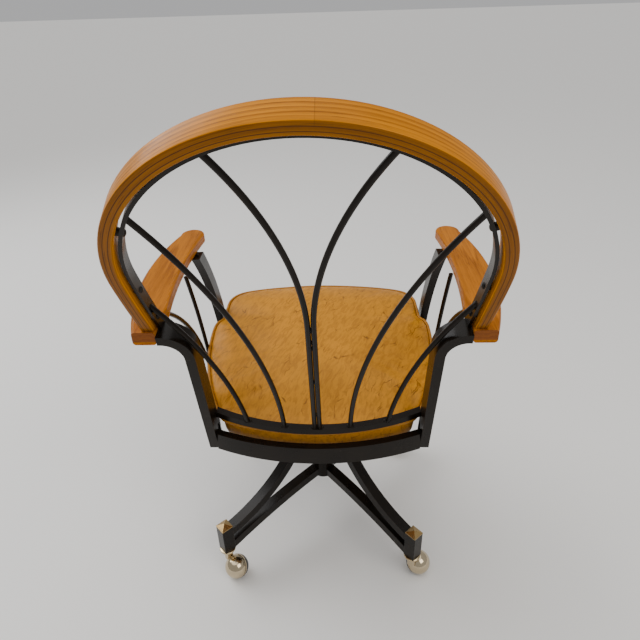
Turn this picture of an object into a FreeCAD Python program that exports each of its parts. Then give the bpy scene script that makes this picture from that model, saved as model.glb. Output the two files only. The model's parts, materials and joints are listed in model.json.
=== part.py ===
import FreeCAD, Part
import math
import os

# Swivel armchair on four caster legs. Millimetres, +Z up.
# The origin is on the floor, on the swivel axis. The chair faces -Y and its bentwood back is on +Y.

# Overall setting out
RAIL_BOTTOM = 362.0
RAIL_TALL = 35.0
SEAT_PITCH = 6.0
PITCH_HINGE_BACK = 190.0
PITCH_HINGE_HEIGHT = 380.0
PART_GAP = 0.3
RUNNING_GAP = 0.06

# Steel tube and rod stock
POST_DEEP = 38.0
POST_THICK = 16.0
FRONT_POST_DEEP = 30.0
TUBE_WALL = 1.5
ROD_RADIUS = 4.0
BACK_ROD_RADIUS = 4.1

# Rear posts: raked back, then bent outward under the arm
POST_RAKE_ANGLE = 12.8
POST_REAR_Y = 196.0
POST_FOOT_Z = 361.0
POST_OUTER_X = 200.0
POST_BEND_INNER = 32.0
POST_UNDER_RISE = 268.5

# Bowed rails between the rear posts
APRON_THICK = 13.5
APRON_END_Y = 200.0
APRON_BOW = 38.0
UPPER_RAIL_DEEP = 14.0
UPPER_RAIL_TALL = 11.0
UPPER_RAIL_BOTTOM = 420.0
UPPER_RAIL_END_Y = 180.0
UPPER_RAIL_BOW = 47.0

# Seat frame
SIDE_RAIL_THICK = 16.0
SIDE_REAR_X = 192.0
SIDE_REAR_Y = 166.0
SIDE_MID_X = 222.0
SIDE_FRONT_X = 224.0
SIDE_FRONT_Y = 160.0

# Laminated hoop, in its own reclined plane
RECLINE_ANGLE = 29.3
HOOP_CENTRE_Y = 308.8
HOOP_CENTRE_Z = 746.3
HOOP_RADIUS = 260.0
HOOP_SIDE_RADIUS = 2000.0
HOOP_SIDE_DROP = 152.0
HOOP_THICK = 18.0
HOOP_WIDE = 34.0
HOOP_EASE = 2.0
STRAP_GAP = 4.0
STRAP_THICK = 5.0
STRAP_WIDE = 19.0
STRAP_SETBACK = 9.0
SCREW_ANGLES = (61.0, 22.7)
SCREW_DROPS = (30.0, 102.0)
SCREW_HEAD_RADIUS = 5.0
SCREW_HEAD_TALL = 2.8
SCREW_HEAD_SEAT = 0.08
SCREW_SHANK_RADIUS = 2.2
SCREW_BITE = 13.0
SPACER_RADIUS = 5.5

# Armrest boards
ARM_TOP_Z = 647.0
ARM_TOP_Y = 240.0
ARM_SLOPE = 2.0
ARM_THICK = 22.0
ARM_EASE = 5.0
ARM_TIP_EASE = 12.0
ARM_REAR_Y = 257.0
ARM_REAR_INNER_X = 236.0
ARM_REAR_OUTER_X = 272.0
ARM_OUTER_X = 308.0
ARM_OUTER_Y = 60.0
ARM_FRONT_OUTER_X = 286.0
ARM_FRONT_OUTER_Y = -114.0
ARM_TIP_X = 264.0
ARM_TIP_Y = -142.0
ARM_FRONT_INNER_X = 240.0
ARM_FRONT_INNER_Y = -112.0
ARM_INNER_X = 247.0
ARM_INNER_Y = 78.0
ARM_SCREW_RADIUS = 2.5
ARM_SCREW_LENGTH = 24.0
ARM_SCREW_SPREAD = 8.0

# Front arm posts: bowed forward as they go down
FRONT_POST_TOP = (48.0, 648.0)
FRONT_POST_MID = (105.0, 552.0)
FRONT_POST_LOW = (138.0, 380.0)
FRONT_POST_TOP_X = 243.0
FRONT_POST_LOW_X = 224.0

# Side rods, from the arm down to the seat frame
SIDE_ROD_X_TOP = 245.0
SIDE_ROD_X_MID = 240.0
SIDE_ROD_X_LOW = 233.4
FRONT_SIDE_ROD = ((40.0, 648.0), (8.0, 540.0), (-14.0, 390.0))
REAR_SIDE_ROD = ((184.0, 640.0), (66.0, 536.0), (-4.0, 390.0))

# Fan of six back rods
CENTRE_ROD_X = 4.25
CENTRE_ROD_TOP_X = 99.0
CENTRE_ROD_SPLIT_Z = 680.0
MID_ROD_X = 57.0
MID_ROD_BEND = (99.0, 664.0)
MID_ROD_TOP_ANGLE = 29.5
OUTER_ROD_X = 122.0
OUTER_ROD_BEND = (175.0, 600.0)
OUTER_ROD_TOP_DROP = 72.0
MID_ROD_FOOT_Y = 217.0
OUTER_ROD_FOOT_Y = 203.5
CENTRE_ROD_FOOT_Y = 220.0

# Seat
SEAT_CENTRE_Y = -6.0
SEAT_REAR_MID = (0.0, 203.5)
SEAT_REAR_END = (122.0, 180.0)
SEAT_REAR_CORNER = (164.0, 160.5)
SEAT_SIDE_REAR = (189.0, 136.0)
SEAT_SIDE_WAIST = (209.0, 68.0)
SEAT_SIDE_MID = (226.0, -8.0)
SEAT_SIDE_FULL = (229.0, -44.0)
SEAT_SIDE_FRONT = (228.5, -82.0)
SEAT_NOTCH_TURN = (224.5, -97.0)
SEAT_NOTCH_MID = (217.0, -106.0)
SEAT_NOTCH_END = (212.0, -117.0)
SEAT_NOTCH_FRONT = (211.0, -134.0)
SEAT_FRONT_SIDE = (208.0, -154.0)
SEAT_FRONT_CORNER = (200.0, -175.0)
SEAT_CORNER_MID = (176.0, -197.0)
SEAT_FRONT_END = (134.0, -209.0)
SEAT_FRONT_MID = (0.0, -223.0)
BOARD_THICK = 12.0
BOARD_SHARE = 0.955
POCKET_SHARE = 0.957
CUSHION_SKIRT = 33.0
CUSHION_CROWN = 27.0
BOXING_SHARES = ((0.0, 0.975), (0.5, 0.992), (1.0, 0.984))
CROWN_SHARES = ((0.32, 0.972), (0.62, 0.92), (0.86, 0.79), (1.0, 0.5))
WELT_RADIUS = 3.0
WELT_SHARE = 0.9985
NOTCH_GAP = 1.5

# Base
BASE_TURN_ANGLE = -2.0
LEG_REACH = 275.0
BLOCK_WIDE = 25.4
BLOCK_TOP = 133.5
BLOCK_BOTTOM = 69.0
BLOCK_EDGE = 1.2
CAP_LIP = 1.6
CAP_RISE = 6.5
LEG_WIDE = 22.0
LEG_TALL = 19.0
UPPER_LEG_TOP = 127.0
UPPER_LEG_RADIUS = 290.0
UPPER_LEG_END_SLOPE = 11.0
LOWER_LEG_TOP = 88.5
LOWER_LEG_RADIUS = 1200.0
LOWER_LEG_END_SLOPE = 16.0
COLUMN_RADIUS = 25.4
COLUMN_WALL = 3.0
COLUMN_BOTTOM = 108.0
COLUMN_TOP = 330.0
COLUMN_FLOOR = 4.0
SPINDLE_RADIUS = 12.5
SPINDLE_BOTTOM = 132.0
BUSH_LENGTH = 24.0
BUSH_FLANGE = 3.0
BUSH_LOW_Z = 146.0
THRUST_RADIUS = 21.0

# Swivel and tilt control under the seat
HOUSING_FLOOR = 4.0
HOUSING_BOTTOM = 344.0
HOUSING_HALF_WIDE = 42.0
HOUSING_WALL = 3.5
HOUSING_FRONT = 122.0
HOUSING_REAR = 74.0
HOUSING_HIGH = 408.0
HOUSING_LOW = 362.0
PIVOT_Y = -40.0
PIVOT_FLAT_Z = 373.0
PIVOT_RADIUS = 6.0
PIVOT_OVERHANG = 3.0
PLATE_THICK = 4.0
PLATE_HALF_WIDE = 88.0
PLATE_FRONT = 124.0
PLATE_REAR = 96.0
PLATE_CORNER = 14.0
EAR_HALF_LONG = 34.0
EAR_DROP = 14.0
TENSION_REACH = 98.0
TENSION_BOLT_RADIUS = 5.0
TENSION_HOLE_RADIUS = 7.0
TENSION_SWING = 11.0
SPRING_RADIUS = 12.5
SPRING_WIRE = 2.0
SPRING_TURNS_COUNT = 5.0
SPRING_SIDES_COUNT = 4
SPRING_TOP_GAP = 0.5
SPRING_LENGTH = 52.0
KNOB_RADIUS = 18.0
KNOB_TALL = 24.0
KNOB_LOBES_COUNT = 6
KNOB_LOBE_RADIUS = 5.0
BOLT_TAIL = 5.0
SEAT_SCREW_RADIUS = 3.2
SEAT_SCREW_HEAD = 6.5
SEAT_SCREW_HEAD_TALL = 3.5
SEAT_SCREW_BITE = 10.0
SEAT_SCREW_X = 66.0
SEAT_SCREW_Y = 74.0

# Hooded ball casters
BALL_RADIUS = 25.0
HOOD_THICK = 2.2
CASTER_TRAIL = 22.0
CASTER_TILT_ANGLE = 33.0
CASTER_TURN_ANGLES = (141.0, 219.0, 20.0, 300.0)
CASTER_SPLIT = 0.6
TREAD_NEAR = 4.0
TREAD_FAR = 17.0
TREAD_DEEP = 4.0
STEM_RADIUS = 5.5
STEM_TOP = 104.0
STEM_FOOT = 44.0
SOCKET_LENGTH = 32.0
COLLAR_RADIUS = 11.5
COLLAR_RING = 3.0
COLLAR_NECK_RADIUS = 9.5
COLLAR_NECK = 2.5
HOOD_NECK_RADIUS = 9.0
AXLE_RADIUS = 3.0
AXLE_HEAD_RADIUS = 5.0
AXLE_HEAD_TALL = 1.2

BIG = 4.0 * HOOP_RADIUS
HALF_SHARE = 0.5


def vec(x, y, z):
    return FreeCAD.Vector(x, y, z)


X_AXIS = vec(1, 0, 0)
Y_AXIS = vec(0, 1, 0)
Z_AXIS = vec(0, 0, 1)
HALF_TURN_ANGLE = 180.0
QUARTER_TURN_ANGLE = 90.0


def arc(a, b, c):
    return Part.Arc(a, b, c).toShape()


def line(a, b):
    return Part.makeLine(a, b)


def face_of(edges):
    return Part.Face(Part.Wire(edges))


def box(x0, x1, y0, y1, z0, z1):
    return Part.makeBox(x1 - x0, y1 - y0, z1 - z0, vec(x0, y0, z0))


def cylinder(radius, z0, z1, x=0.0, y=0.0):
    return Part.makeCylinder(radius, z1 - z0, vec(x, y, z0), Z_AXIS)


def rod_between(a, b, radius):
    return Part.makeCylinder(radius, (b - a).Length, a, b - a)


def mirrored(shape):
    return shape.mirror(vec(0, 0, 0), X_AXIS)


def about_z(shape, angle, x=0.0, y=0.0):
    turned = shape.copy()
    turned.rotate(vec(x, y, 0), Z_AXIS, angle)
    return turned


def joined(shapes):
    return shapes[0].fuse(list(shapes[1:])).removeSplitter()


def group(shapes):
    return Part.makeCompound(list(shapes))


def save(shape, node):
    shape.exportStep("parts/" + node + ".step")


def circle_centre(a, b, c):
    """Centre of the circle through three points of a plane, each a pair."""
    d = 2 * (a[0] * (b[1] - c[1]) + b[0] * (c[1] - a[1]) + c[0] * (a[1] - b[1]))
    sa, sb, sc = (p[0] ** 2 + p[1] ** 2 for p in (a, b, c))
    u = (sa * (b[1] - c[1]) + sb * (c[1] - a[1]) + sc * (a[1] - b[1])) / d
    v = (sa * (c[0] - b[0]) + sb * (a[0] - c[0]) + sc * (b[0] - a[0])) / d
    return u, v


# Reclined and pitched frames

def reclined(shape, lean, y, z):
    """Stands a flat shape up: its Y runs up the lean, its Z runs forward."""
    placed = shape.copy()
    frame = FreeCAD.Placement(vec(0, y, z), FreeCAD.Rotation(X_AXIS, QUARTER_TURN_ANGLE - lean))
    placed.Placement = frame.multiply(shape.Placement)
    return placed


def reclined_point(point, lean, y, z):
    frame = FreeCAD.Placement(vec(0, y, z), FreeCAD.Rotation(X_AXIS, QUARTER_TURN_ANGLE - lean))
    return frame.multVec(point)


def in_hoop(shape):
    return reclined(shape, RECLINE_ANGLE, HOOP_CENTRE_Y, HOOP_CENTRE_Z)


def in_post(shape):
    return reclined(shape, POST_RAKE_ANGLE, POST_REAR_Y, POST_FOOT_Z)


def pitched(shape):
    """Lifts the front of the flat seat frame."""
    placed = shape.copy()
    placed.rotate(vec(0, PITCH_HINGE_BACK, PITCH_HINGE_HEIGHT), X_AXIS, -SEAT_PITCH)
    return placed


def pitched_point(y, z):
    turn = FreeCAD.Rotation(X_AXIS, -SEAT_PITCH)
    hinge = vec(0, PITCH_HINGE_BACK, PITCH_HINGE_HEIGHT)
    return hinge + turn.multVec(vec(0, y, z) - hinge)


# Rear posts

def post_strip(inset):
    """Side outline of the bent post in its raked plane, drawn in by an inset."""
    inner_x = POST_OUTER_X - POST_THICK + inset
    outer_x = POST_OUTER_X - inset
    bend_x = POST_OUTER_X + POST_BEND_INNER
    bend_y = POST_UNDER_RISE - POST_BEND_INNER
    tight = POST_BEND_INNER + inset
    wide = POST_BEND_INNER + POST_THICK - inset
    end_x = ARM_REAR_INNER_X - inset
    half = math.sqrt(HALF_SHARE)
    edges = [line(vec(inner_x, inset, 0), vec(outer_x, inset, 0)),
             line(vec(outer_x, inset, 0), vec(outer_x, bend_y, 0)),
             arc(vec(outer_x, bend_y, 0), vec(bend_x - tight * half, bend_y + tight * half, 0),
                 vec(bend_x, bend_y + tight, 0)),
             line(vec(bend_x, bend_y + tight, 0), vec(end_x, bend_y + tight, 0)),
             line(vec(end_x, bend_y + tight, 0), vec(end_x, bend_y + wide, 0)),
             line(vec(end_x, bend_y + wide, 0), vec(bend_x, bend_y + wide, 0)),
             arc(vec(bend_x, bend_y + wide, 0), vec(bend_x - wide * half, bend_y + wide * half, 0),
                 vec(inner_x, bend_y, 0)),
             line(vec(inner_x, bend_y, 0), vec(inner_x, inset, 0))]
    return face_of(edges)


def post_envelope():
    return in_post(post_strip(0).extrude(vec(0, 0, POST_DEEP)))


def rear_post():
    """Closed rectangular tube, bent outward at the top."""
    hollow = post_strip(TUBE_WALL)
    hollow.translate(vec(0, 0, TUBE_WALL))
    void = in_post(hollow.extrude(vec(0, 0, POST_DEEP - 2 * TUBE_WALL)))
    tube = post_envelope().cut(void)
    for a, b in arm_screw_lines():
        tube = tube.cut(rod_between(a, b, ARM_SCREW_RADIUS))
    return tube


def below_post_top():
    """Everything under the plane of the post's bent end, for trimming what stands on it."""
    rise = POST_UNDER_RISE + POST_THICK
    return in_post(box(-BIG, BIG, rise - BIG, rise, -BIG, BIG))


# Bowed rails

def bowed_bar(end_x, end_y, bow, thick, z0, tall):
    """Bar bowed rearward between the posts, with its rear face on an arc."""
    centre = circle_centre((-end_x, end_y), (0.0, end_y + bow), (end_x, end_y))
    rear = math.hypot(end_x - centre[0], end_y - centre[1])
    front = rear - thick
    ring = cylinder(rear, z0, z0 + tall, 0, centre[1]).cut(
        cylinder(front, z0 - tall, z0 + 2 * tall, 0, centre[1]))
    return ring.common(box(-end_x, end_x, 0, BIG, z0 - tall, z0 + 2 * tall))


def post_inner_x():
    return POST_OUTER_X - POST_THICK


def apron_rail():
    return bowed_bar(post_inner_x(), APRON_END_Y, APRON_BOW, APRON_THICK, RAIL_BOTTOM, RAIL_TALL)


def upper_rail():
    return bowed_bar(post_inner_x(), UPPER_RAIL_END_Y, UPPER_RAIL_BOW, UPPER_RAIL_DEEP,
                     UPPER_RAIL_BOTTOM, UPPER_RAIL_TALL)


def side_rail_arc():
    """Plan centre and radius of the side rail's centreline."""
    rear = (SIDE_REAR_X, SIDE_REAR_Y)
    centre = circle_centre(rear, (SIDE_MID_X, 0.0), (SIDE_FRONT_X, -SIDE_FRONT_Y))
    return centre, math.hypot(rear[0] - centre[0], rear[1] - centre[1])


def side_rail_bar(inset):
    """Bowed bar along the side of the flat seat frame, drawn in all round by an inset."""
    centre, radius = side_rail_arc()
    half = SIDE_RAIL_THICK / 2
    z0 = RAIL_BOTTOM + inset
    z1 = RAIL_BOTTOM + RAIL_TALL - inset
    outer = cylinder(radius + half - inset, z0, z1, centre[0], centre[1])
    inner = cylinder(radius - half + inset, z0, z1, centre[0], centre[1])
    return outer.cut(inner).common(box(0, BIG, inset - SIDE_FRONT_Y, SIDE_REAR_Y + half - inset, z0, z1))


def filled_side_rail():
    """The side rail without its hollow, for trimming what is welded on it."""
    return pitched(side_rail_bar(0))


def side_rail():
    """Bowed tube from the front of the rear post to the front rail, pitched with the seat."""
    return pitched(side_rail_bar(0).cut(side_rail_bar(TUBE_WALL))).cut(post_envelope())


def front_rail():
    """Straight tube across the front, between the side rails."""
    y0 = -SIDE_FRONT_Y
    y1 = y0 + SIDE_RAIL_THICK
    z0 = RAIL_BOTTOM
    z1 = RAIL_BOTTOM + RAIL_TALL
    reach = SIDE_FRONT_X
    bar = box(-reach, reach, y0, y1, z0, z1)
    bar = bar.cut(box(-reach + SIDE_RAIL_THICK, reach - SIDE_RAIL_THICK, y0 + TUBE_WALL, y1 - TUBE_WALL,
                      z0 + TUBE_WALL, z1 - TUBE_WALL))
    solid_side = side_rail_envelope()
    return pitched(bar.cut(solid_side).cut(mirrored(solid_side)))


def side_rail_envelope():
    """Filled shape of the flat side rail, before it is pitched."""
    centre, radius = side_rail_arc()
    half = SIDE_RAIL_THICK / 2
    z1 = RAIL_BOTTOM + RAIL_TALL
    ring = cylinder(radius + BIG, RAIL_BOTTOM, z1, centre[0], centre[1]).cut(
        cylinder(radius - half, RAIL_BOTTOM, z1, centre[0], centre[1]))
    return ring.common(box(0, BIG, -BIG, BIG, RAIL_BOTTOM, z1))


# Laminated hoop and its strap

def hoop_band(outer_in, thick, z0, wide, drop):
    """Open hoop between two offset outlines: a round top and long, nearly straight sides."""
    def outline(inset):
        r = HOOP_RADIUS - inset
        far = HOOP_SIDE_RADIUS - inset
        sag = far - math.sqrt(far ** 2 - drop ** 2)
        mid_sag = far - math.sqrt(far ** 2 - (drop / 2) ** 2)
        return r, sag, mid_sag

    def eighth(radius, side):
        return vec(side * radius * math.sqrt(HALF_SHARE), radius * math.sqrt(HALF_SHARE), z0)

    r0, s0, m0 = outline(outer_in)
    r1, s1, m1 = outline(outer_in + thick)
    edges = [line(vec(r1 - s1, -drop, z0), vec(r0 - s0, -drop, z0)),
             arc(vec(r0 - s0, -drop, z0), vec(r0 - m0, -drop / 2, z0), vec(r0, 0, z0)),
             arc(vec(r0, 0, z0), eighth(r0, 1), vec(0, r0, z0)),
             arc(vec(0, r0, z0), eighth(r0, -1), vec(-r0, 0, z0)),
             arc(vec(-r0, 0, z0), vec(m0 - r0, -drop / 2, z0), vec(s0 - r0, -drop, z0)),
             line(vec(s0 - r0, -drop, z0), vec(s1 - r1, -drop, z0)),
             arc(vec(s1 - r1, -drop, z0), vec(m1 - r1, -drop / 2, z0), vec(-r1, 0, z0)),
             arc(vec(-r1, 0, z0), eighth(r1, -1), vec(0, r1, z0)),
             arc(vec(0, r1, z0), eighth(r1, 1), vec(r1, 0, z0)),
             arc(vec(r1, 0, z0), vec(r1 - m1, -drop / 2, z0), vec(r1 - s1, -drop, z0))]
    return face_of(edges).extrude(vec(0, 0, wide))


def on_hoop(shape):
    """Copies a screw, drawn along +X from the hoop's centre, to every strap screw's place."""
    flat = shape.copy()
    flat.translate(vec(0, 0, STRAP_SETBACK + STRAP_WIDE / 2))
    placed = []
    for angle in SCREW_ANGLES:
        spot = flat.copy()
        spot.rotate(vec(0, 0, 0), Z_AXIS, angle)
        placed.append(in_hoop(spot))
    for drop in SCREW_DROPS:
        spot = flat.copy()
        turn = math.degrees(math.asin(drop / HOOP_SIDE_RADIUS))
        spot.rotate(vec(HOOP_RADIUS - HOOP_SIDE_RADIUS, 0, 0), Z_AXIS, -turn)
        placed.append(in_hoop(spot))
    return placed + [mirrored(p) for p in placed]


def strap_inner_radius():
    return HOOP_RADIUS - HOOP_THICK - STRAP_GAP - STRAP_THICK


def screw_shank():
    length = STRAP_THICK + STRAP_GAP + SCREW_BITE
    return Part.makeCylinder(SCREW_SHANK_RADIUS, length, vec(strap_inner_radius(), 0, 0), X_AXIS)


def strap_screw():
    """Domed head on the strap's inner face, and a shank into the wood."""
    r = strap_inner_radius() - SCREW_HEAD_SEAT
    rise = SCREW_HEAD_TALL
    ball = (SCREW_HEAD_RADIUS ** 2 + rise ** 2) / (2 * rise)
    tilt = math.asin(SCREW_HEAD_RADIUS / ball) / 2
    mid = vec(r - rise + ball - ball * math.cos(tilt), ball * math.sin(tilt), 0)
    tail = strap_inner_radius() + STRAP_THICK + STRAP_GAP + SCREW_BITE
    profile = face_of([arc(vec(r - rise, 0, 0), mid, vec(r, SCREW_HEAD_RADIUS, 0)),
                       line(vec(r, SCREW_HEAD_RADIUS, 0), vec(r, SCREW_SHANK_RADIUS, 0)),
                       line(vec(r, SCREW_SHANK_RADIUS, 0), vec(tail, SCREW_SHANK_RADIUS, 0)),
                       line(vec(tail, SCREW_SHANK_RADIUS, 0), vec(tail, 0, 0)),
                       line(vec(tail, 0, 0), vec(r - rise, 0, 0))])
    return profile.revolve(vec(0, 0, 0), X_AXIS, 2 * HALF_TURN_ANGLE)


def wood_hoop():
    """Bent laminated band, cut off level on the armrests, with eased long edges."""
    band = in_hoop(hoop_band(0, HOOP_THICK, 0, HOOP_WIDE, HOOP_SIDE_DROP)).cut(below_arm_top())
    rims = [e for e in band.Edges if e.Curve.TypeId != "Part::GeomLine" and e.Length > HOOP_WIDE]
    band = band.makeChamfer(HOOP_EASE, rims)
    for hole in on_hoop(screw_shank()):
        band = band.cut(hole)
    return band


def strap_band():
    return in_hoop(hoop_band(HOOP_THICK + STRAP_GAP, STRAP_THICK, STRAP_SETBACK, STRAP_WIDE, HOOP_SIDE_DROP))


def hoop_strap():
    """Flat steel band inside the hoop, with its feet on the bent ends of the posts."""
    band = strap_band().cut(below_post_top())
    for hole in on_hoop(screw_shank()):
        band = band.cut(hole)
    return band


def strap_spacers():
    """Ring under each strap screw, between the strap and the wood."""
    r0 = strap_inner_radius() + STRAP_THICK
    ring = Part.makeCylinder(SPACER_RADIUS, STRAP_GAP, vec(r0, 0, 0), X_AXIS).cut(screw_shank())
    rings = []
    solid_strap = strap_band()
    wood = in_hoop(hoop_band(0, HOOP_THICK, 0, HOOP_WIDE, HOOP_SIDE_DROP))
    for spot in on_hoop(ring):
        rings.append(spot.cut(solid_strap).cut(wood))
    return group(rings)


# Armrests

def arm_plane(shape):
    """Moves a board drawn flat, top face at zero height, onto the arm's sloping plane."""
    placed = shape.copy()
    placed.translate(vec(0, 0, ARM_TOP_Z))
    placed.rotate(vec(0, ARM_TOP_Y, ARM_TOP_Z), X_AXIS, -ARM_SLOPE)
    return placed


def below_arm_top():
    return arm_plane(box(-BIG, BIG, -BIG, BIG, -BIG, 0))


def above_arm_underside():
    return arm_plane(box(-BIG, BIG, -BIG, BIG, -ARM_THICK, BIG))


def armrest():
    """Flat board with a bowed outer edge, a rounded tip and a square rear end."""
    z = -ARM_THICK
    a = vec(ARM_REAR_INNER_X, ARM_REAR_Y, z)
    b = vec(ARM_REAR_OUTER_X, ARM_REAR_Y, z)
    c = vec(ARM_FRONT_OUTER_X, ARM_FRONT_OUTER_Y, z)
    d = vec(ARM_FRONT_INNER_X, ARM_FRONT_INNER_Y, z)
    straight = vec(ARM_REAR_INNER_X, ARM_REAR_Y - 2 * POST_DEEP, z)
    edges = [line(a, b),
             arc(b, vec(ARM_OUTER_X, ARM_OUTER_Y, z), c),
             arc(c, vec(ARM_TIP_X, ARM_TIP_Y, z), d),
             arc(d, vec(ARM_INNER_X, ARM_INNER_Y - POST_DEEP, z), straight),
             line(straight, a)]
    board = face_of(edges).extrude(vec(0, 0, ARM_THICK))
    tip_corners = [e for e in board.Edges if e.BoundBox.ZLength > ARM_EASE and e.BoundBox.YMax < 0]
    board = board.makeFillet(ARM_TIP_EASE, tip_corners)
    rims = [e for e in board.Edges if e.BoundBox.ZLength < PART_GAP and e.BoundBox.YLength > PART_GAP]
    board = board.makeFillet(ARM_EASE, rims)
    return arm_plane(board)


def arm_screw_lines():
    """Start and end of each screw from the post's bent end into the board's edge."""
    mid = POST_UNDER_RISE + POST_THICK / 2
    spots = []
    for side in (-1, 1):
        deep = POST_DEEP / 2 + side * ARM_SCREW_SPREAD
        flat = vec(ARM_REAR_INNER_X - TUBE_WALL, mid, deep)
        start = reclined_point(flat, POST_RAKE_ANGLE, POST_REAR_Y, POST_FOOT_Z)
        spots.append((start, start + vec(ARM_SCREW_LENGTH, 0, 0)))
    return spots


def front_post_screw_line():
    """Screw from the top of the front post up into the board."""
    share = (ARM_TOP_Z - ARM_THICK - FRONT_POST_LOW[1]) / (FRONT_POST_TOP[1] - FRONT_POST_LOW[1])
    x = FRONT_POST_LOW_X + share * (FRONT_POST_TOP_X - FRONT_POST_LOW_X)
    y = -FRONT_POST_TOP[0] - ARM_SCREW_SPREAD
    start = vec(x, y, ARM_TOP_Z - ARM_THICK + FRONT_POST_DEEP * HALF_SHARE / 4)
    return start, start + vec(0, 0, ARM_THICK * HALF_SHARE)


def arm_screws():
    """Screws of the right arm."""
    pieces = [rod_between(a, b, ARM_SCREW_RADIUS) for a, b in arm_screw_lines()]
    a, b = front_post_screw_line()
    pieces.append(rod_between(a, b, ARM_SCREW_RADIUS))
    return pieces


def drilled_arm():
    board = armrest()
    for screw in arm_screws():
        board = board.cut(screw)
    return board


# Front posts and side rods

def front_post_body(deep, thick):
    """Bowed bar in a plane that leans out a little toward the arm."""
    centre = circle_centre(FRONT_POST_TOP, FRONT_POST_MID, FRONT_POST_LOW)
    radius = math.hypot(FRONT_POST_LOW[0] - centre[0], FRONT_POST_LOW[1] - centre[1])
    ring = Part.makeCylinder(radius + deep / 2, thick, vec(-thick / 2, -centre[0], centre[1]), X_AXIS).cut(
        Part.makeCylinder(radius - deep / 2, thick, vec(-thick / 2, -centre[0], centre[1]), X_AXIS))
    reach = box(-thick, thick, -FRONT_POST_LOW[0] - 2 * deep, BIG, FRONT_POST_LOW[1] - deep, BIG)
    bar = ring.common(reach).common(box(-thick, thick, -BIG, FRONT_POST_DEEP, 0, BIG))
    out, up = FRONT_POST_TOP_X - FRONT_POST_LOW_X, FRONT_POST_TOP[1] - FRONT_POST_LOW[1]
    lean = math.degrees(math.atan2(out, up))
    bar.rotate(vec(0, 0, FRONT_POST_LOW[1]), Y_AXIS, lean)
    bar.translate(vec(FRONT_POST_LOW_X, 0, 0))
    return bar


def above_side_rail_top():
    return pitched(box(-BIG, BIG, -BIG, BIG, RAIL_BOTTOM + RAIL_TALL, BIG))


def front_post():
    """Bowed tube from the side rail up to the underside of the arm."""
    bar = front_post_body(FRONT_POST_DEEP, POST_THICK)
    void = front_post_body(FRONT_POST_DEEP - 2 * TUBE_WALL, POST_THICK - 2 * TUBE_WALL)
    keep = above_side_rail_top()
    inner_keep = keep.copy()
    inner_keep.translate(vec(0, 0, TUBE_WALL))
    lid = above_arm_underside()
    low_lid = lid.copy()
    low_lid.translate(vec(0, 0, -TUBE_WALL))
    tube = bar.common(keep).cut(lid)
    a, b = front_post_screw_line()
    tube = tube.cut(rod_between(a, b, ARM_SCREW_RADIUS))
    return tube.cut(void.common(inner_keep).cut(low_lid))


def swept_arc(a, b, c, radius):
    """Round rod along the arc through three points, turned about the arc's own centre."""
    edge = arc(a, b, c)
    start = edge.tangentAt(edge.FirstParameter)
    circle = Part.Face(Part.Wire([Part.makeCircle(radius, a, start)]))
    sweep = math.degrees(edge.LastParameter - edge.FirstParameter)
    return circle.revolve(edge.Curve.Center, edge.Curve.Axis, sweep)


def side_rod(path):
    """One bent rod outside the seat, from the arm to the side rail."""
    a = vec(SIDE_ROD_X_TOP, path[0][0], path[0][1])
    b = vec(SIDE_ROD_X_MID, path[1][0], path[1][1])
    c = vec(SIDE_ROD_X_LOW, path[2][0], path[2][1])
    return swept_arc(a, b, c, ROD_RADIUS).cut(above_arm_underside()).cut(filled_side_rail())


# Fan of back rods

def strap_point(angle):
    """Point in the strap's thickness at a hoop angle."""
    r = strap_inner_radius() + STRAP_THICK / 2
    turn = math.radians(angle)
    flat = vec(r * math.cos(turn), r * math.sin(turn), STRAP_SETBACK + STRAP_WIDE / 2)
    return reclined_point(flat, RECLINE_ANGLE, HOOP_CENTRE_Y, HOOP_CENTRE_Z)


def strap_side_point(drop):
    """Point in the strap's thickness on its long side, a drop below the hoop's centre."""
    inset = HOOP_RADIUS - strap_inner_radius() - STRAP_THICK / 2
    far = HOOP_SIDE_RADIUS - inset
    flat = vec(HOOP_RADIUS - HOOP_SIDE_RADIUS + math.sqrt(far ** 2 - drop ** 2), -drop,
               STRAP_SETBACK + STRAP_WIDE / 2)
    return reclined_point(flat, RECLINE_ANGLE, HOOP_CENTRE_Y, HOOP_CENTRE_Z)


def on_slope(foot, top, z):
    """Depth of a rod at height z, on the straight slope between its two ends."""
    return foot.y + (top.y - foot.y) * (z - foot.z) / (top.z - foot.z)


def trimmed_rod(rod):
    """Cuts a rod where it meets the strap's inner face and the upper rail's top."""
    strap = hoop_band(HOOP_THICK + STRAP_GAP, STRAP_THICK, STRAP_SETBACK, STRAP_WIDE, HOOP_SIDE_DROP)
    beyond = hoop_band(0, HOOP_THICK + STRAP_GAP + STRAP_THICK, -HOOP_WIDE, 3 * HOOP_WIDE, HOOP_SIDE_DROP)
    level = box(-BIG, BIG, -BIG, BIG, -BIG, UPPER_RAIL_BOTTOM + UPPER_RAIL_TALL)
    return rod.cut(in_hoop(beyond)).cut(in_hoop(strap)).cut(level)


def rail_top():
    return UPPER_RAIL_BOTTOM + UPPER_RAIL_TALL / 2


def centre_rod():
    """Upright beside its twin, then curving out to the strap."""
    angle = math.degrees(math.acos(CENTRE_ROD_TOP_X / strap_inner_radius()))
    top = strap_point(angle)
    foot = vec(CENTRE_ROD_X, CENTRE_ROD_FOOT_Y, rail_top())
    split = vec(CENTRE_ROD_X, on_slope(foot, top, CENTRE_ROD_SPLIT_Z), CENTRE_ROD_SPLIT_Z)
    rise = (top - split).Length
    run = top.x - split.x
    along = math.sqrt(rise ** 2 - run ** 2)
    radius = rise ** 2 / (2 * run)
    half = math.asin(along / radius) / 2
    share = radius * math.sin(half) / along
    bow = radius - radius * math.cos(half)
    mid = split + (vec(split.x, top.y, top.z) - split) * share + vec(bow, 0, 0)
    straight = rod_between(foot, split, BACK_ROD_RADIUS)
    return trimmed_rod(straight.fuse(swept_arc(split, mid, top, BACK_ROD_RADIUS)))


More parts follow.
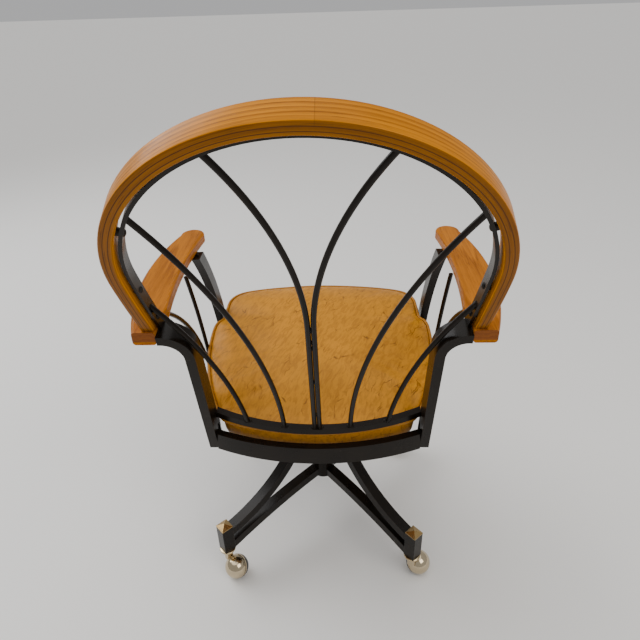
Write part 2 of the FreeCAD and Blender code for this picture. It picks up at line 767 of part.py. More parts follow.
def bowed_rod(foot_x, foot_y, bend, top):
    """Rod bowed through one arc from the upper rail to the strap."""
    foot = vec(foot_x, foot_y, rail_top())
    mid = vec(bend[0], on_slope(foot, top, bend[1]), bend[1])
    return trimmed_rod(swept_arc(foot, mid, top, BACK_ROD_RADIUS))


def rod_pair(rod):
    return group([rod, mirrored(rod)])


# Seat

def seat_outline(share, z):
    """Outline of arcs: bowed front and back, rounded corners, and a jog in for each front post."""
    half = [SEAT_REAR_MID, SEAT_REAR_END, SEAT_REAR_CORNER, SEAT_SIDE_REAR, SEAT_SIDE_WAIST, SEAT_SIDE_MID,
            SEAT_SIDE_FULL, SEAT_SIDE_FRONT, SEAT_NOTCH_TURN,
            SEAT_NOTCH_MID, SEAT_NOTCH_END, SEAT_NOTCH_FRONT,
            SEAT_FRONT_SIDE, SEAT_FRONT_CORNER, SEAT_CORNER_MID, SEAT_FRONT_END, SEAT_FRONT_MID]
    last = len(half) - 2
    right = [vec(x * share, SEAT_CENTRE_Y + (y - SEAT_CENTRE_Y) * share, z) for x, y in half]
    left = [vec(-p.x, p.y, p.z) for p in right]
    edges = [arc(left[1], right[0], right[1])]
    edges += [arc(right[i], right[i + 1], right[i + 2]) for i in range(1, last, 2)]
    edges.append(arc(right[last], right[last + 1], left[last]))
    edges += [arc(left[i], left[i - 1], left[i - 2]) for i in range(last, 1, -2)]
    return Part.Wire(edges)


def seat_board():
    z = RAIL_BOTTOM + RAIL_TALL
    board = Part.Face(seat_outline(BOARD_SHARE, z)).extrude(vec(0, 0, BOARD_THICK))
    board = pitched(board).cut(front_post_clear()).cut(mirrored(front_post_clear()))
    for screw in seat_screw_shanks():
        board = board.cut(screw)
    return board


def front_post_clear():
    return front_post_body(FRONT_POST_DEEP + 2 * NOTCH_GAP, POST_THICK + 2 * NOTCH_GAP)


def seat_cushion():
    """Upholstered pad: boxing drawn in at the bottom and at the welt, crowned on top."""
    z0 = RAIL_BOTTOM + RAIL_TALL
    top = z0 + CUSHION_SKIRT
    sections = [seat_outline(share, z0 + CUSHION_SKIRT * rise) for rise, share in BOXING_SHARES]
    sections += [seat_outline(share, top + CUSHION_CROWN * rise) for rise, share in CROWN_SHARES]
    body = Part.makeLoft(sections, True, True)
    pocket = Part.Face(seat_outline(POCKET_SHARE, z0 - BOARD_THICK))
    body = body.cut(pocket.extrude(vec(0, 0, 2 * BOARD_THICK + PART_GAP)))
    body = pitched(body)
    return body.cut(front_post_clear()).cut(mirrored(front_post_clear()))


def seat_welt():
    """Piping cord round the top edge of the boxing, one ring of arcs."""
    path = seat_outline(WELT_SHARE, RAIL_BOTTOM + RAIL_TALL + CUSHION_SKIRT)
    pieces = []
    for edge in path.Edges:
        start = edge.valueAt(edge.FirstParameter)
        way = edge.tangentAt(edge.FirstParameter)
        circle = Part.Face(Part.Wire([Part.makeCircle(WELT_RADIUS, start, way)]))
        centre = edge.Curve.Center
        sweep = math.degrees(edge.LastParameter - edge.FirstParameter)
        pieces.append(circle.revolve(centre, edge.Curve.Axis, sweep))
        pieces.append(Part.makeSphere(WELT_RADIUS, start))
    ring = joined(pieces)
    return pitched(ring).cut(front_post_clear()).cut(mirrored(front_post_clear()))


# Tilt control

def tilt_plate():
    """Plate under the seat board with two ears that hang over the pivot pin."""
    z1 = RAIL_BOTTOM + RAIL_TALL
    z0 = z1 - PLATE_THICK
    plate = box(-PLATE_HALF_WIDE, PLATE_HALF_WIDE, -PLATE_FRONT, PLATE_REAR, z0, z1)
    uprights = [e for e in plate.Edges if e.BoundBox.ZLength > PLATE_THICK * HALF_SHARE]
    plate = plate.makeFillet(PLATE_CORNER, uprights)
    ear_in = HOUSING_HALF_WIDE + PART_GAP
    ears = []
    for side in (-1, 1):
        x0, x1 = sorted((side * ear_in, side * (ear_in + HOUSING_WALL)))
        ear = box(x0, x1, PIVOT_Y - EAR_HALF_LONG, PIVOT_Y + EAR_HALF_LONG, PIVOT_FLAT_Z - EAR_DROP, z0)
        low = [e for e in ear.Edges if e.BoundBox.XLength > HOUSING_WALL * HALF_SHARE
               and e.BoundBox.ZMax < PIVOT_FLAT_Z]
        ears.append(ear.makeFillet(EAR_DROP - PART_GAP, low))
    bracket = joined([plate] + ears)
    hole = Part.makeCylinder(PIVOT_RADIUS + RUNNING_GAP, BIG, vec(-BIG / 2, PIVOT_Y, PIVOT_FLAT_Z), X_AXIS)
    bracket = pitched(bracket.cut(hole))
    bracket = bracket.cut(cylinder(TENSION_BOLT_RADIUS, 0, BIG, 0, -TENSION_REACH))
    for screw in seat_screw_shanks():
        bracket = bracket.cut(screw)
    return bracket


def pivot_point():
    return pitched_point(PIVOT_Y, PIVOT_FLAT_Z)


def pivot_pin():
    """Pin across the housing, with a little of each end proud of the ears."""
    half = HOUSING_HALF_WIDE + PART_GAP + HOUSING_WALL + PIVOT_OVERHANG
    p = pivot_point()
    return Part.makeCylinder(PIVOT_RADIUS, 2 * half, vec(-half, p.y, p.z), X_AXIS)


def tilt_housing():
    """Pressed channel on top of the spindle, high at the pivot and low at the back."""
    z0 = HOUSING_BOTTOM
    w = HOUSING_HALF_WIDE
    p = pivot_point()
    side = [vec(-w, -HOUSING_FRONT, z0), vec(-w, HOUSING_REAR, z0), vec(-w, HOUSING_REAR, HOUSING_LOW),
            vec(-w, p.y + 2 * PIVOT_RADIUS, HOUSING_HIGH), vec(-w, p.y - 2 * PIVOT_RADIUS, HOUSING_HIGH),
            vec(-w, -HOUSING_FRONT, HOUSING_LOW), vec(-w, -HOUSING_FRONT, z0)]
    block = Part.Face(Part.makePolygon(side)).extrude(vec(2 * w, 0, 0))
    inside = box(-w + HOUSING_WALL, w - HOUSING_WALL, -HOUSING_FRONT + HOUSING_WALL,
                 HOUSING_REAR - HOUSING_WALL, z0 + HOUSING_FLOOR, BIG)
    channel = block.cut(inside)
    channel = channel.cut(pivot_pin())
    for shift in (0, TENSION_SWING / 2, TENSION_SWING):
        channel = channel.cut(cylinder(TENSION_HOLE_RADIUS, 0, PIVOT_FLAT_Z, 0, -TENSION_REACH - shift))
    return channel.cut(cylinder(SPINDLE_RADIUS, 0, BIG))


def spindle():
    """Turned shaft with a thrust shoulder, fixed in the housing's floor."""
    shaft = cylinder(SPINDLE_RADIUS, SPINDLE_BOTTOM, HOUSING_BOTTOM + 2 * HOUSING_FLOOR)
    z0 = COLUMN_TOP + BUSH_FLANGE + PART_GAP
    shoulder = cylinder(THRUST_RADIUS, z0, HOUSING_BOTTOM)
    return shaft.fuse(shoulder).removeSplitter()


def tension_top():
    """Height of the seat plate's underside over the tension bolt."""
    return pitched_point(-TENSION_REACH, RAIL_BOTTOM + RAIL_TALL - PLATE_THICK).z


def spring_top():
    return HOUSING_BOTTOM - SPRING_TOP_GAP


def spring_bottom():
    return spring_top() - SPRING_LENGTH


def tension_bolt():
    """Bolt hung from the plate through the housing floor and the spring."""
    tail = spring_bottom() - KNOB_TALL - BOLT_TAIL
    return cylinder(TENSION_BOLT_RADIUS, tail, tension_top() + PLATE_THICK / 2, 0, -TENSION_REACH)


def tension_spring():
    """Compression coil round the bolt, under the housing floor."""
    height = SPRING_LENGTH - 2 * SPRING_WIRE
    pitch = height / SPRING_TURNS_COUNT
    helix = Part.makeHelix(pitch, height, SPRING_RADIUS)
    rim = []
    for i in range(SPRING_SIDES_COUNT + 1):
        turn = 2 * math.pi * (i % SPRING_SIDES_COUNT) / SPRING_SIDES_COUNT
        rim.append(vec(SPRING_RADIUS + SPRING_WIRE * math.cos(turn), 0, SPRING_WIRE * math.sin(turn)))
    coil = Part.Wire(helix).makePipeShell([Part.makePolygon(rim)], True, True)
    coil.translate(vec(0, -TENSION_REACH, spring_bottom() + SPRING_WIRE))
    return coil


def tension_knob():
    """Lobed hand knob on the lower end of the tension bolt."""
    z1 = spring_bottom() - PART_GAP
    z0 = z1 - KNOB_TALL
    knob = cylinder(KNOB_RADIUS, z0, z1, 0, -TENSION_REACH)
    for i in range(KNOB_LOBES_COUNT):
        turn = 2 * math.pi * i / KNOB_LOBES_COUNT
        lobe = cylinder(KNOB_LOBE_RADIUS, z0 - KNOB_TALL, z1 - KNOB_TALL / 4,
                        (KNOB_RADIUS + KNOB_LOBE_RADIUS / 2) * math.cos(turn),
                        (KNOB_RADIUS + KNOB_LOBE_RADIUS / 2) * math.sin(turn) - TENSION_REACH)
        knob = knob.cut(lobe)
    return knob.cut(cylinder(TENSION_BOLT_RADIUS + RUNNING_GAP, 0, BIG, 0, -TENSION_REACH))


def at_seat_screws(radius, z0, z1):
    """Upright cylinders at the four seat screws, pitched with the seat."""
    return [pitched(cylinder(radius, z0, z1, side * SEAT_SCREW_X, end * SEAT_SCREW_Y))
            for side in (-1, 1) for end in (-1, 1)]


def seat_screw_shanks():
    """Four screws up through the plate into the seat board."""
    board_foot = RAIL_BOTTOM + RAIL_TALL
    return at_seat_screws(SEAT_SCREW_RADIUS, board_foot - PLATE_THICK, board_foot + SEAT_SCREW_BITE)


def seat_screws():
    plate_foot = RAIL_BOTTOM + RAIL_TALL - PLATE_THICK
    heads = at_seat_screws(SEAT_SCREW_HEAD, plate_foot - SEAT_SCREW_HEAD_TALL, plate_foot)
    return group([joined(pair) for pair in zip(seat_screw_shanks(), heads)])


# Base

def leg_angles():
    return [QUARTER_TURN_ANGLE / 2 + BASE_TURN_ANGLE + QUARTER_TURN_ANGLE * i for i in range(4)]


def leg_bar(reach, top, radius, end_slope, bow_up):
    """Curved bar in the XZ plane from the end block in to the column, and the height of its centre."""
    turn = 1 if bow_up else -1
    slope = math.radians(end_slope)
    cx = reach + turn * radius * math.sin(slope)
    cz = top + turn * radius * math.cos(slope)

    def ring(r):
        return Part.makeCylinder(r, LEG_WIDE, vec(cx, -LEG_WIDE / 2, cz), Y_AXIS)

    thin = radius
    thick = radius + LEG_TALL
    if not bow_up:
        thin = radius - LEG_TALL
        thick = radius
    bar = ring(thick).cut(ring(thin))
    return bar.common(box(0, reach, -LEG_WIDE, LEG_WIDE, 0, COLUMN_TOP - BUSH_FLANGE)), cz


def block_inner():
    return LEG_REACH - BLOCK_WIDE / 2


def hub_cut():
    return cylinder(COLUMN_RADIUS, 0, BIG)


def upper_leg():
    """Tube that rises from the end block and sweeps up into the column."""
    reach = block_inner()
    bar, cz = leg_bar(reach, UPPER_LEG_TOP, UPPER_LEG_RADIUS, UPPER_LEG_END_SLOPE, True)
    lower_half = box(0, reach, -LEG_WIDE, LEG_WIDE, 0, cz)
    return bar.common(lower_half).cut(hub_cut())


def lower_leg():
    """Slightly arched tube from the foot of the end block to the foot of the column."""
    reach = block_inner()
    bar, cz = leg_bar(reach, LOWER_LEG_TOP, LOWER_LEG_RADIUS, LOWER_LEG_END_SLOPE, False)
    upper_half = box(0, reach, -LEG_WIDE, LEG_WIDE, cz, BIG)
    return bar.common(upper_half).cut(hub_cut())


def leg_block():
    """Square tube stub that ends a leg and holds the caster socket."""
    half = BLOCK_WIDE / 2
    block = box(LEG_REACH - half, LEG_REACH + half, -half, half, BLOCK_BOTTOM, BLOCK_TOP)
    uprights = [e for e in block.Edges if e.BoundBox.ZLength > half]
    block = block.makeFillet(BLOCK_EDGE, uprights)
    inner = half - TUBE_WALL
    bore = box(LEG_REACH - inner, LEG_REACH + inner, -inner, inner, 0, BIG)
    return block.cut(bore)


def leg_cap():
    """Low pyramid cap with a thin lip, pressed into the top of the block."""
    half = BLOCK_WIDE / 2
    z0 = BLOCK_TOP
    lip = box(LEG_REACH - half, LEG_REACH + half, -half, half, z0, z0 + CAP_LIP)
    z1 = z0 + CAP_LIP
    corners = [vec(LEG_REACH - half, -half, z1), vec(LEG_REACH + half, -half, z1),
               vec(LEG_REACH + half, half, z1), vec(LEG_REACH - half, half, z1)]
    apex = vec(LEG_REACH, 0, z1 + CAP_RISE)
    nexts = corners[1:] + corners[:1]
    faces = [Part.Face(Part.makePolygon([a, b, apex, a])) for a, b in zip(corners, nexts)]
    faces.append(Part.Face(Part.makePolygon(corners + [corners[0]])))
    pyramid = Part.Solid(Part.Shell(faces))
    inner = half - TUBE_WALL
    plug = box(LEG_REACH - inner, LEG_REACH + inner, -inner, inner, z0 - CAP_RISE, z0)
    return joined([lip, pyramid, plug])


def caster_socket():
    """Sleeve in the block's foot with a two-ring collar under it."""
    inner = BLOCK_WIDE / 2 - TUBE_WALL
    z0 = BLOCK_BOTTOM
    sleeve = box(LEG_REACH - inner, LEG_REACH + inner, -inner, inner, z0, z0 + SOCKET_LENGTH)
    ring_a = cylinder(COLLAR_RADIUS, z0 - COLLAR_RING, z0, LEG_REACH)
    neck = cylinder(COLLAR_NECK_RADIUS, z0 - COLLAR_RING - COLLAR_NECK, z0 - COLLAR_RING, LEG_REACH)
    z1 = z0 - COLLAR_RING - COLLAR_NECK
    ring_b = cylinder(COLLAR_RADIUS, z1 - COLLAR_RING, z1, LEG_REACH)
    body = joined([sleeve, ring_a, neck, ring_b])
    return body.cut(cylinder(STEM_RADIUS + RUNNING_GAP, 0, STEM_TOP + PART_GAP, LEG_REACH))


def collar_bottom():
    return BLOCK_BOTTOM - 2 * COLLAR_RING - COLLAR_NECK


def column_tube():
    tube = cylinder(COLUMN_RADIUS, COLUMN_BOTTOM, COLUMN_TOP)
    return tube.cut(cylinder(COLUMN_RADIUS - COLUMN_WALL, COLUMN_BOTTOM + COLUMN_FLOOR, BIG))


def swivel_bushings():
    """Flanged bush in the column's mouth and a plain bush low down."""
    bore = cylinder(SPINDLE_RADIUS + RUNNING_GAP, 0, BIG)
    outer = COLUMN_RADIUS - COLUMN_WALL
    top = cylinder(outer, COLUMN_TOP - BUSH_LENGTH, COLUMN_TOP).fuse(
        cylinder(COLUMN_RADIUS, COLUMN_TOP, COLUMN_TOP + BUSH_FLANGE)).removeSplitter()
    low = cylinder(outer, BUSH_LOW_Z, BUSH_LOW_Z + BUSH_LENGTH)
    return group([top.cut(bore), low.cut(bore)])


# Casters, drawn with the stem on the leg's axis and the ball trailing along +X

def ball_centre():
    return vec(CASTER_TRAIL, 0, BALL_RADIUS)


def axle_direction():
    """The wheel's axle leans down and out to the side of the fork."""
    tilt = math.radians(CASTER_TILT_ANGLE)
    return vec(0, math.cos(tilt), -math.sin(tilt))


def ball_height(radius, along):
    """Radius of the ball's section at a distance along the axle."""
    return math.sqrt(max(radius ** 2 - along ** 2, 0))


def ball_arc(radius, start, stop):
    """Part of the ball's outline between two distances along the axle."""
    a = math.asin(max(-1, start / radius))
    b = math.asin(min(1, stop / radius))
    points = [vec(radius * math.sin(t), 0, radius * math.cos(t)) for t in (a, (a + b) / 2, b)]
    return arc(*points)


def on_axle(shape):
    """Carries a shape drawn round the X axis to the caster's ball and its axle."""
    placed = shape.copy()
    placed.Placement = FreeCAD.Placement(ball_centre(), FreeCAD.Rotation(X_AXIS, axle_direction()))
    return placed


def turned(edges):
    """Solid of revolution about the axle from its half outline."""
    return on_axle(face_of(edges).revolve(vec(0, 0, 0), X_AXIS, 2 * HALF_TURN_ANGLE))


def caster_hood():
    """Domed shell over the inner half of the ball, with its web and the neck for the stem."""
    inner = BALL_RADIUS - HOOD_THICK
    web = -2 * HOOD_THICK
    shell = turned([ball_arc(BALL_RADIUS, -BALL_RADIUS, -CASTER_SPLIT),
                    line(vec(-CASTER_SPLIT, 0, ball_height(BALL_RADIUS, CASTER_SPLIT)),
                         vec(-CASTER_SPLIT, 0, AXLE_RADIUS)),
                    line(vec(-CASTER_SPLIT, 0, AXLE_RADIUS), vec(web, 0, AXLE_RADIUS)),
                    line(vec(web, 0, AXLE_RADIUS), vec(web, 0, ball_height(inner, web))),
                    ball_arc(inner, -inner, web),
                    line(vec(-inner, 0, 0), vec(-BALL_RADIUS, 0, 0))])
    neck = cylinder(HOOD_NECK_RADIUS, STEM_FOOT - HOOD_NECK_RADIUS / 2, collar_bottom() - PART_GAP)
    neck = neck.cut(Part.makeSphere(inner, ball_centre()))
    return shell.fuse(neck).cut(cylinder(STEM_RADIUS, STEM_FOOT, BIG))


def caster_stem():
    return cylinder(STEM_RADIUS, STEM_FOOT, STEM_TOP)


def caster_axle():
    """Axle fixed in the hood's web, with a head outside the wheel."""
    c = ball_centre()
    d = axle_direction()
    far = BALL_RADIUS - AXLE_HEAD_TALL
    pin = Part.makeCylinder(AXLE_RADIUS, far + 2 * HOOD_THICK, c - d * (2 * HOOD_THICK), d)
    head = Part.makeCylinder(AXLE_HEAD_RADIUS, AXLE_HEAD_TALL, c + d * far, d)
    return pin.fuse(head).removeSplitter()


def wheel_face():
    """Distance along the axle of the wheel's flat outer face."""
    return BALL_RADIUS - 2 * AXLE_HEAD_TALL - PART_GAP


def tread_band():
    """Ring let into the wheel where it meets the floor."""
    deep = BALL_RADIUS - TREAD_DEEP
    return turned([ball_arc(BALL_RADIUS, TREAD_NEAR, TREAD_FAR),
                   line(vec(TREAD_FAR, 0, ball_height(BALL_RADIUS, TREAD_FAR)),
                        vec(TREAD_FAR, 0, ball_height(deep, TREAD_FAR))),
                   ball_arc(deep, TREAD_NEAR, TREAD_FAR),
                   line(vec(TREAD_NEAR, 0, ball_height(deep, TREAD_NEAR)),
                        vec(TREAD_NEAR, 0, ball_height(BALL_RADIUS, TREAD_NEAR)))])


def caster_wheel():
    """Domed half of the ball that turns on the axle, grooved for its tread."""
    deep = BALL_RADIUS - TREAD_DEEP
    bore = AXLE_RADIUS + RUNNING_GAP
    stop = wheel_face()
    return turned([line(vec(CASTER_SPLIT, 0, bore),
                        vec(CASTER_SPLIT, 0, ball_height(BALL_RADIUS, CASTER_SPLIT))),
                   ball_arc(BALL_RADIUS, CASTER_SPLIT, TREAD_NEAR),
                   line(vec(TREAD_NEAR, 0, ball_height(BALL_RADIUS, TREAD_NEAR)),
                        vec(TREAD_NEAR, 0, ball_height(deep, TREAD_NEAR))),
                   ball_arc(deep, TREAD_NEAR, TREAD_FAR),
                   line(vec(TREAD_FAR, 0, ball_height(deep, TREAD_FAR)),
                        vec(TREAD_FAR, 0, ball_height(BALL_RADIUS, TREAD_FAR))),
                   ball_arc(BALL_RADIUS, TREAD_FAR, stop),
                   line(vec(stop, 0, ball_height(BALL_RADIUS, stop)), vec(stop, 0, bore)),
                   line(vec(stop, 0, bore), vec(CASTER_SPLIT, 0, bore))])


def placed_caster(shape, index):
    """Turns a caster about its stem and carries it out to its leg."""
    angle = math.radians(leg_angles()[index])
    placed = about_z(shape, CASTER_TURN_ANGLES[index])
    placed.translate(vec(LEG_REACH * math.cos(angle), LEG_REACH * math.sin(angle), 0))
    return placed


def build():
    os.makedirs("parts", exist_ok=True)

    right_post = rear_post()
    save(right_post, "rear_post_right")
    save(mirrored(right_post), "rear_post_left")
    save(apron_rail(), "apron_rail")
    save(upper_rail(), "upper_rail")
    rail = side_rail()
    save(rail, "side_rail_right")
    save(mirrored(rail), "side_rail_left")
    save(front_rail(), "front_rail")

    save(wood_hoop(), "wood_hoop")
    save(hoop_strap(), "hoop_strap")
    save(strap_spacers(), "strap_spacers")
    screws = on_hoop(strap_screw())
    fixings = arm_screws()
    save(group(screws + fixings + [mirrored(s) for s in fixings]), "wood_screws")

    board = drilled_arm()
    save(board, "armrest_right")
    save(mirrored(board), "armrest_left")

    post = front_post()
    save(post, "front_post_right")
    save(mirrored(post), "front_post_left")
    rods = [side_rod(FRONT_SIDE_ROD), side_rod(REAR_SIDE_ROD)]
    save(group(rods), "side_rods_right")
    save(group([mirrored(r) for r in rods]), "side_rods_left")

    save(rod_pair(centre_rod()), "back_rods_centre")
    middle = bowed_rod(MID_ROD_X, MID_ROD_FOOT_Y, MID_ROD_BEND, strap_point(MID_ROD_TOP_ANGLE))
    save(rod_pair(middle), "back_rods_middle")
    side = bowed_rod(OUTER_ROD_X, OUTER_ROD_FOOT_Y, OUTER_ROD_BEND, strap_side_point(OUTER_ROD_TOP_DROP))
    save(rod_pair(side), "back_rods_outer")

    save(seat_board(), "seat_board")
    save(seat_cushion(), "seat_cushion")
    save(seat_welt(), "seat_welt")
    save(seat_screws(), "seat_screws")

    save(tilt_plate(), "tilt_plate")
    save(tilt_housing(), "tilt_housing")
    save(pivot_pin(), "pivot_pin")
    save(spindle(), "spindle")
    save(tension_bolt(), "tension_bolt")
    save(tension_spring(), "tension_spring")
    save(tension_knob(), "tension_knob")

    save(column_tube(), "column_tube")
    save(swivel_bushings(), "swivel_bushings")
    high = upper_leg()
    low = lower_leg()
    stub = leg_block()
    stubs = []
    caps = []
    sockets = []
    for index, angle in enumerate(leg_angles()):
        number = str(index + 1)
        save(about_z(high, angle), "leg_upper_" + number)
        save(about_z(low, angle), "leg_lower_" + number)
        stubs.append(about_z(stub, angle))
        caps.append(about_z(leg_cap(), angle))
        sockets.append(about_z(caster_socket(), angle))
    save(group(stubs), "leg_blocks")
    save(group(caps), "leg_caps")
    save(group(sockets), "caster_sockets")

    for index in range(4):
        number = str(index + 1)
        save(placed_caster(caster_hood(), index), "caster_hood_" + number)
        save(placed_caster(caster_stem().fuse(caster_axle()), index), "caster_pins_" + number)
        save(placed_caster(caster_wheel(), index), "caster_wheel_" + number)
        save(placed_caster(tread_band(), index), "caster_tread_" + number)


build()
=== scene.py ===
import json
import math
import bpy
import bmesh
import numpy as np
from mathutils import Matrix, Vector


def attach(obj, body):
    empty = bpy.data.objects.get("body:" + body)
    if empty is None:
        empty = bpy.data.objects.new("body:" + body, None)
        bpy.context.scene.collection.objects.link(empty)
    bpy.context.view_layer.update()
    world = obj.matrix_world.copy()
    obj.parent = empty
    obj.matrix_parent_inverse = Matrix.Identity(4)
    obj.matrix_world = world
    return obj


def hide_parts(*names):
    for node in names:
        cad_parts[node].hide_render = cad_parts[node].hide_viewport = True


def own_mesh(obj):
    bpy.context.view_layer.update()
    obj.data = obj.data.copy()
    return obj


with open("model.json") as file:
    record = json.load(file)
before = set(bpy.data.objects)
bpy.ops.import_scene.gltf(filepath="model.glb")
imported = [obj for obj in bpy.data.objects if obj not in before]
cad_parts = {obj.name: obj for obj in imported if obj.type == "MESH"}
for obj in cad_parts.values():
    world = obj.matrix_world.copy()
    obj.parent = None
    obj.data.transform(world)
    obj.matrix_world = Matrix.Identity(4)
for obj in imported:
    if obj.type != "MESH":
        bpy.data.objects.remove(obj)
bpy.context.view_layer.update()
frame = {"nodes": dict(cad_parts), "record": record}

MM = 0.001
nodes = frame["nodes"]
scene = bpy.context.scene

# Sizes are in millimetres and angles in degrees. The hoop, arms, strap, rods and hinge line have the solids' sizes.

# Hoop: two slow side curves and a half circle over them, in one plane that leans back, laminated from three plies
RECLINE = 29.3
HOOP_Y, HOOP_Z = 308.8, 746.3
HOOP_R, SIDE_R = 260.0, 2000.0
HOOP_THICK, HOOP_WIDE, HOOP_EASE = 18.0, 34.0, 2.6
HOOP_ARC_STEPS, HOOP_SIDE_STEPS, CORNER_STEPS = 72, 18, 4
PLY = HOOP_THICK / 3
# Glue line, outer ply joint and its place, and the width of the painted shade at the hoop's edge faces
GLUE_LINE, PLY_JOINT, PLY_JOINT_AT, EDGE_SHADE_WIDTH = 0.6, 0.5, 426.0, 1.2
SHARP = 50.0

# Armrests: top height at ARM_Y and the slope of the top, the gap that the hoop's ends keep, and where end grain starts
ARM_Z, ARM_Y, ARM_SLOPE = 647.0, 240.0, 2.0
ARM_GAP, ARM_SAWN_Y = 0.15, 256.4

# Steel strap inside the hoop, with two screws a side on the arc and two on the straighter part
STRAP_SETBACK, STRAP_WIDE, STRAP_INNER = 9.0, 19.0, 233.0
STRAP_SCREW_ANGLES, STRAP_SCREW_DROPS = (61.0, 22.7), (30.0, 102.0)
SCREW_HEAD_R, SCREW_SINK = 4.7, 0.2

# Rods and their weld beads: places of the feet, the rail they stand on, and the centre rods' joint, with its beads as
# height and number. A bead leans away from its rod.
ROD_FEET = [(4.3, 220.0), (57.0, 217.0), (122.0, 203.5)]
RAIL_TOP, CENTRE_SLOPE = 431.0, 0.343
FOOT_BEADS, FOOT_BEAD_RING, FOOT_BEAD_LIFT, TWIN_ROD_SIDE = 9, 4.6, 0.3, -0.3
JOINT_BEADS = ((470.0, 1), (560.0, 1), (640.0, 1), (652.0, 1), (676.0, 2))
JOINT_BEAD_OUT, JOINT_BEAD_STEP, JOINT_BEAD_WAY = 3.0, 3.2, (0, 0.9, -0.3)
BEAD_R, BEAD_SPREAD, BEAD_LEAN, BEAD_RISE = 2.1, 0.5, 0.25, 0.94

# Seat: the hinge line that it is pitched about, its floor and boxing, and half of its outline from rear to front
SEAT_PITCH, HINGE_Y, HINGE_Z = 6.0, 190.0, 380.0
SEAT_FLOOR, SKIRT, CROWN, SEAT_MID_Y = 397.0, 33.0, 24.0, -6.0
SEAT_HALF = [(0, 216), (62, 211.5), (122, 198.5), (152, 189), (170, 180), (180, 166), (191, 146), (203, 118),
             (211.5, 90), (219, 58), (225.5, 26), (229.5, -8), (231.5, -47), (231, -80), (227, -97), (219, -107),
             (215.5, -118), (215, -148), (211, -186), (189, -212), (140, -227), (70, -237), (0, -241)]

# Pad: boxing rings as inset, share of the way up to the piping, and 1 where the rear runs lower. The top's rings are
# shares of the outline, and the crown sinks towards the rear.
PAD_POINTS, PAD_INSET, PAD_LIFT, PAD_VOXEL = 220, 2.2, 0.4, 4.3
BOXING = [(21.0, 0.0, 0.0), (7.2, 0.0, 1.0), (5.0, 0.12, 1.0), (3.2, 0.4, 1.0), (2.6, 0.75, 1.0),
          (PAD_INSET, 1.0, 1.0)]
TOP_SHARES = (0.985, 0.96, 0.92, 0.86, 0.78, 0.68, 0.56, 0.42, 0.26, 0.1)
CROWN_EDGE, CROWN_FULLNESS = 5, 0.62
REAR_FLAT, CROWN_FADE_Y, CROWN_FADE_RUN = 0.8, 125.0, 70.0

# The rear boxing runs down between the two rear rails, behind SKIRT_Y and within SKIRT_X of the middle
SKIRT_DROP, SKIRT_Y, SKIRT_RUN, SKIRT_X, SKIRT_EDGE = 28.0, 150.0, 16.0, 181.0, 6.0

# How far the padding may swell: most on top, little on the boxing, and less again towards the rear
HELD_BAND, TOP_SWELL, BOXING_SWELL, SWELL_FADE_Y, SWELL_FADE_RUN = 5.0, 9.0, 2.2, 140.0, 50.0
SEAM_POINTS, PRESSURE, SWELL_FRAMES = 360, 4.0, 20

# Piping, and the seam flange below it. It dips to pass under the bowed rail and rises a little at the very rear.
WELT_POINTS, WELT_R, WELT_INSET = 420, 3.3, 0.2
FLANGE_R, FLANGE_INSET, FLANGE_BELOW = 0.9, 3.2, 3.6
WELT_DROP, WELT_DROP_Y, WELT_RISE, WELT_RISE_Y, WELT_RUN = 16.2, 112.0, 5.2, 165.0, 50.0

# Brass rings under the leg blocks, as radius and height
CASTER_PLACES = [(201.12, 187.55), (-187.55, 201.12), (-201.12, -187.55), (187.55, -201.12)]
COLLAR_SIDES = 56
COLLAR_PROFILE = [(11.7, 61.2), (13.6, 61.2), (14.6, 61.9), (14.9, 63.0), (14.5, 64.2), (14.2, 64.9), (15.8, 65.3),
                  (16.8, 66.1), (17.1, 67.1), (16.7, 68.2), (15.8, 68.8), (11.7, 68.8)]

# Tension spring, with one closed turn at each end
SPRING_Y, SPRING_LOW, SPRING_HIGH = -98.0, 291.5, 343.5
SPRING_R, SPRING_WIRE, SPRING_FREE_TURNS, SPRING_STEPS = 12.5, 2.0, 4.0, 24
CLOSED_PITCH, WIRE_SHARE = 2.1, 0.98


def link(obj):
    """Puts a new object in the scene."""
    scene.collection.objects.link(obj)
    return obj


def mesh_piece(name, verts, faces, finish, smooth=True):
    """A new piece from points in millimetres."""
    mesh = bpy.data.meshes.new(name)
    mesh.from_pydata([tuple(c * MM for c in v) for v in verts], [], faces)
    mesh.validate()
    mesh.update()
    mesh.polygons.foreach_set("use_smooth", [smooth] * len(mesh.polygons))
    mesh.materials.append(finish)
    return link(bpy.data.objects.new(name, mesh))


def ring_faces(rings, count, closed=False, first=0):
    """Quads between neighbouring rings of as many points, and from the last ring to the first if closed."""
    faces = []
    for k in range(rings if closed else rings - 1):
        here, ahead = first + k * count, first + (k + 1) % rings * count
        for j in range(count):
            after = (j + 1) % count
            faces.append((here + j, here + after, ahead + after, ahead + j))
    return faces


def outward(piece):
    """Turns all the faces of a closed piece outward."""
    bm = bmesh.new()
    bm.from_mesh(piece.data)
    bmesh.ops.recalc_face_normals(bm, faces=bm.faces)
    bm.to_mesh(piece.data)
    bm.free()
    return piece


def sharpen(piece):
    """Marks the piece's sharp edges, so that the smooth shading stops there."""
    bm = bmesh.new()
    bm.from_mesh(piece.data)
    for edge in bm.edges:
        if len(edge.link_faces) == 2:
            edge.smooth = edge.calc_face_angle(0) < math.radians(SHARP)
    bm.to_mesh(piece.data)
    bm.free()


def baked(piece):
    """Applies the live modifiers of a piece to its mesh."""
    depsgraph = bpy.context.evaluated_depsgraph_get()
    mesh = bpy.data.meshes.new_from_object(piece.evaluated_get(depsgraph))
    piece.modifiers.clear()
    piece.data = mesh


def all_smooth(piece):
    """Shades every face of a piece smoothly."""
    piece.data.polygons.foreach_set("use_smooth", [True] * len(piece.data.polygons))


# Node helpers

def feed(tree, socket, value):
    """Gives a socket a link, a colour or a plain value."""
    if isinstance(value, bpy.types.NodeSocket):
        tree.links.new(value, socket)
    elif socket.type == "RGBA":
        socket.default_value = (*value, 1.0)
    else:
        socket.default_value = value


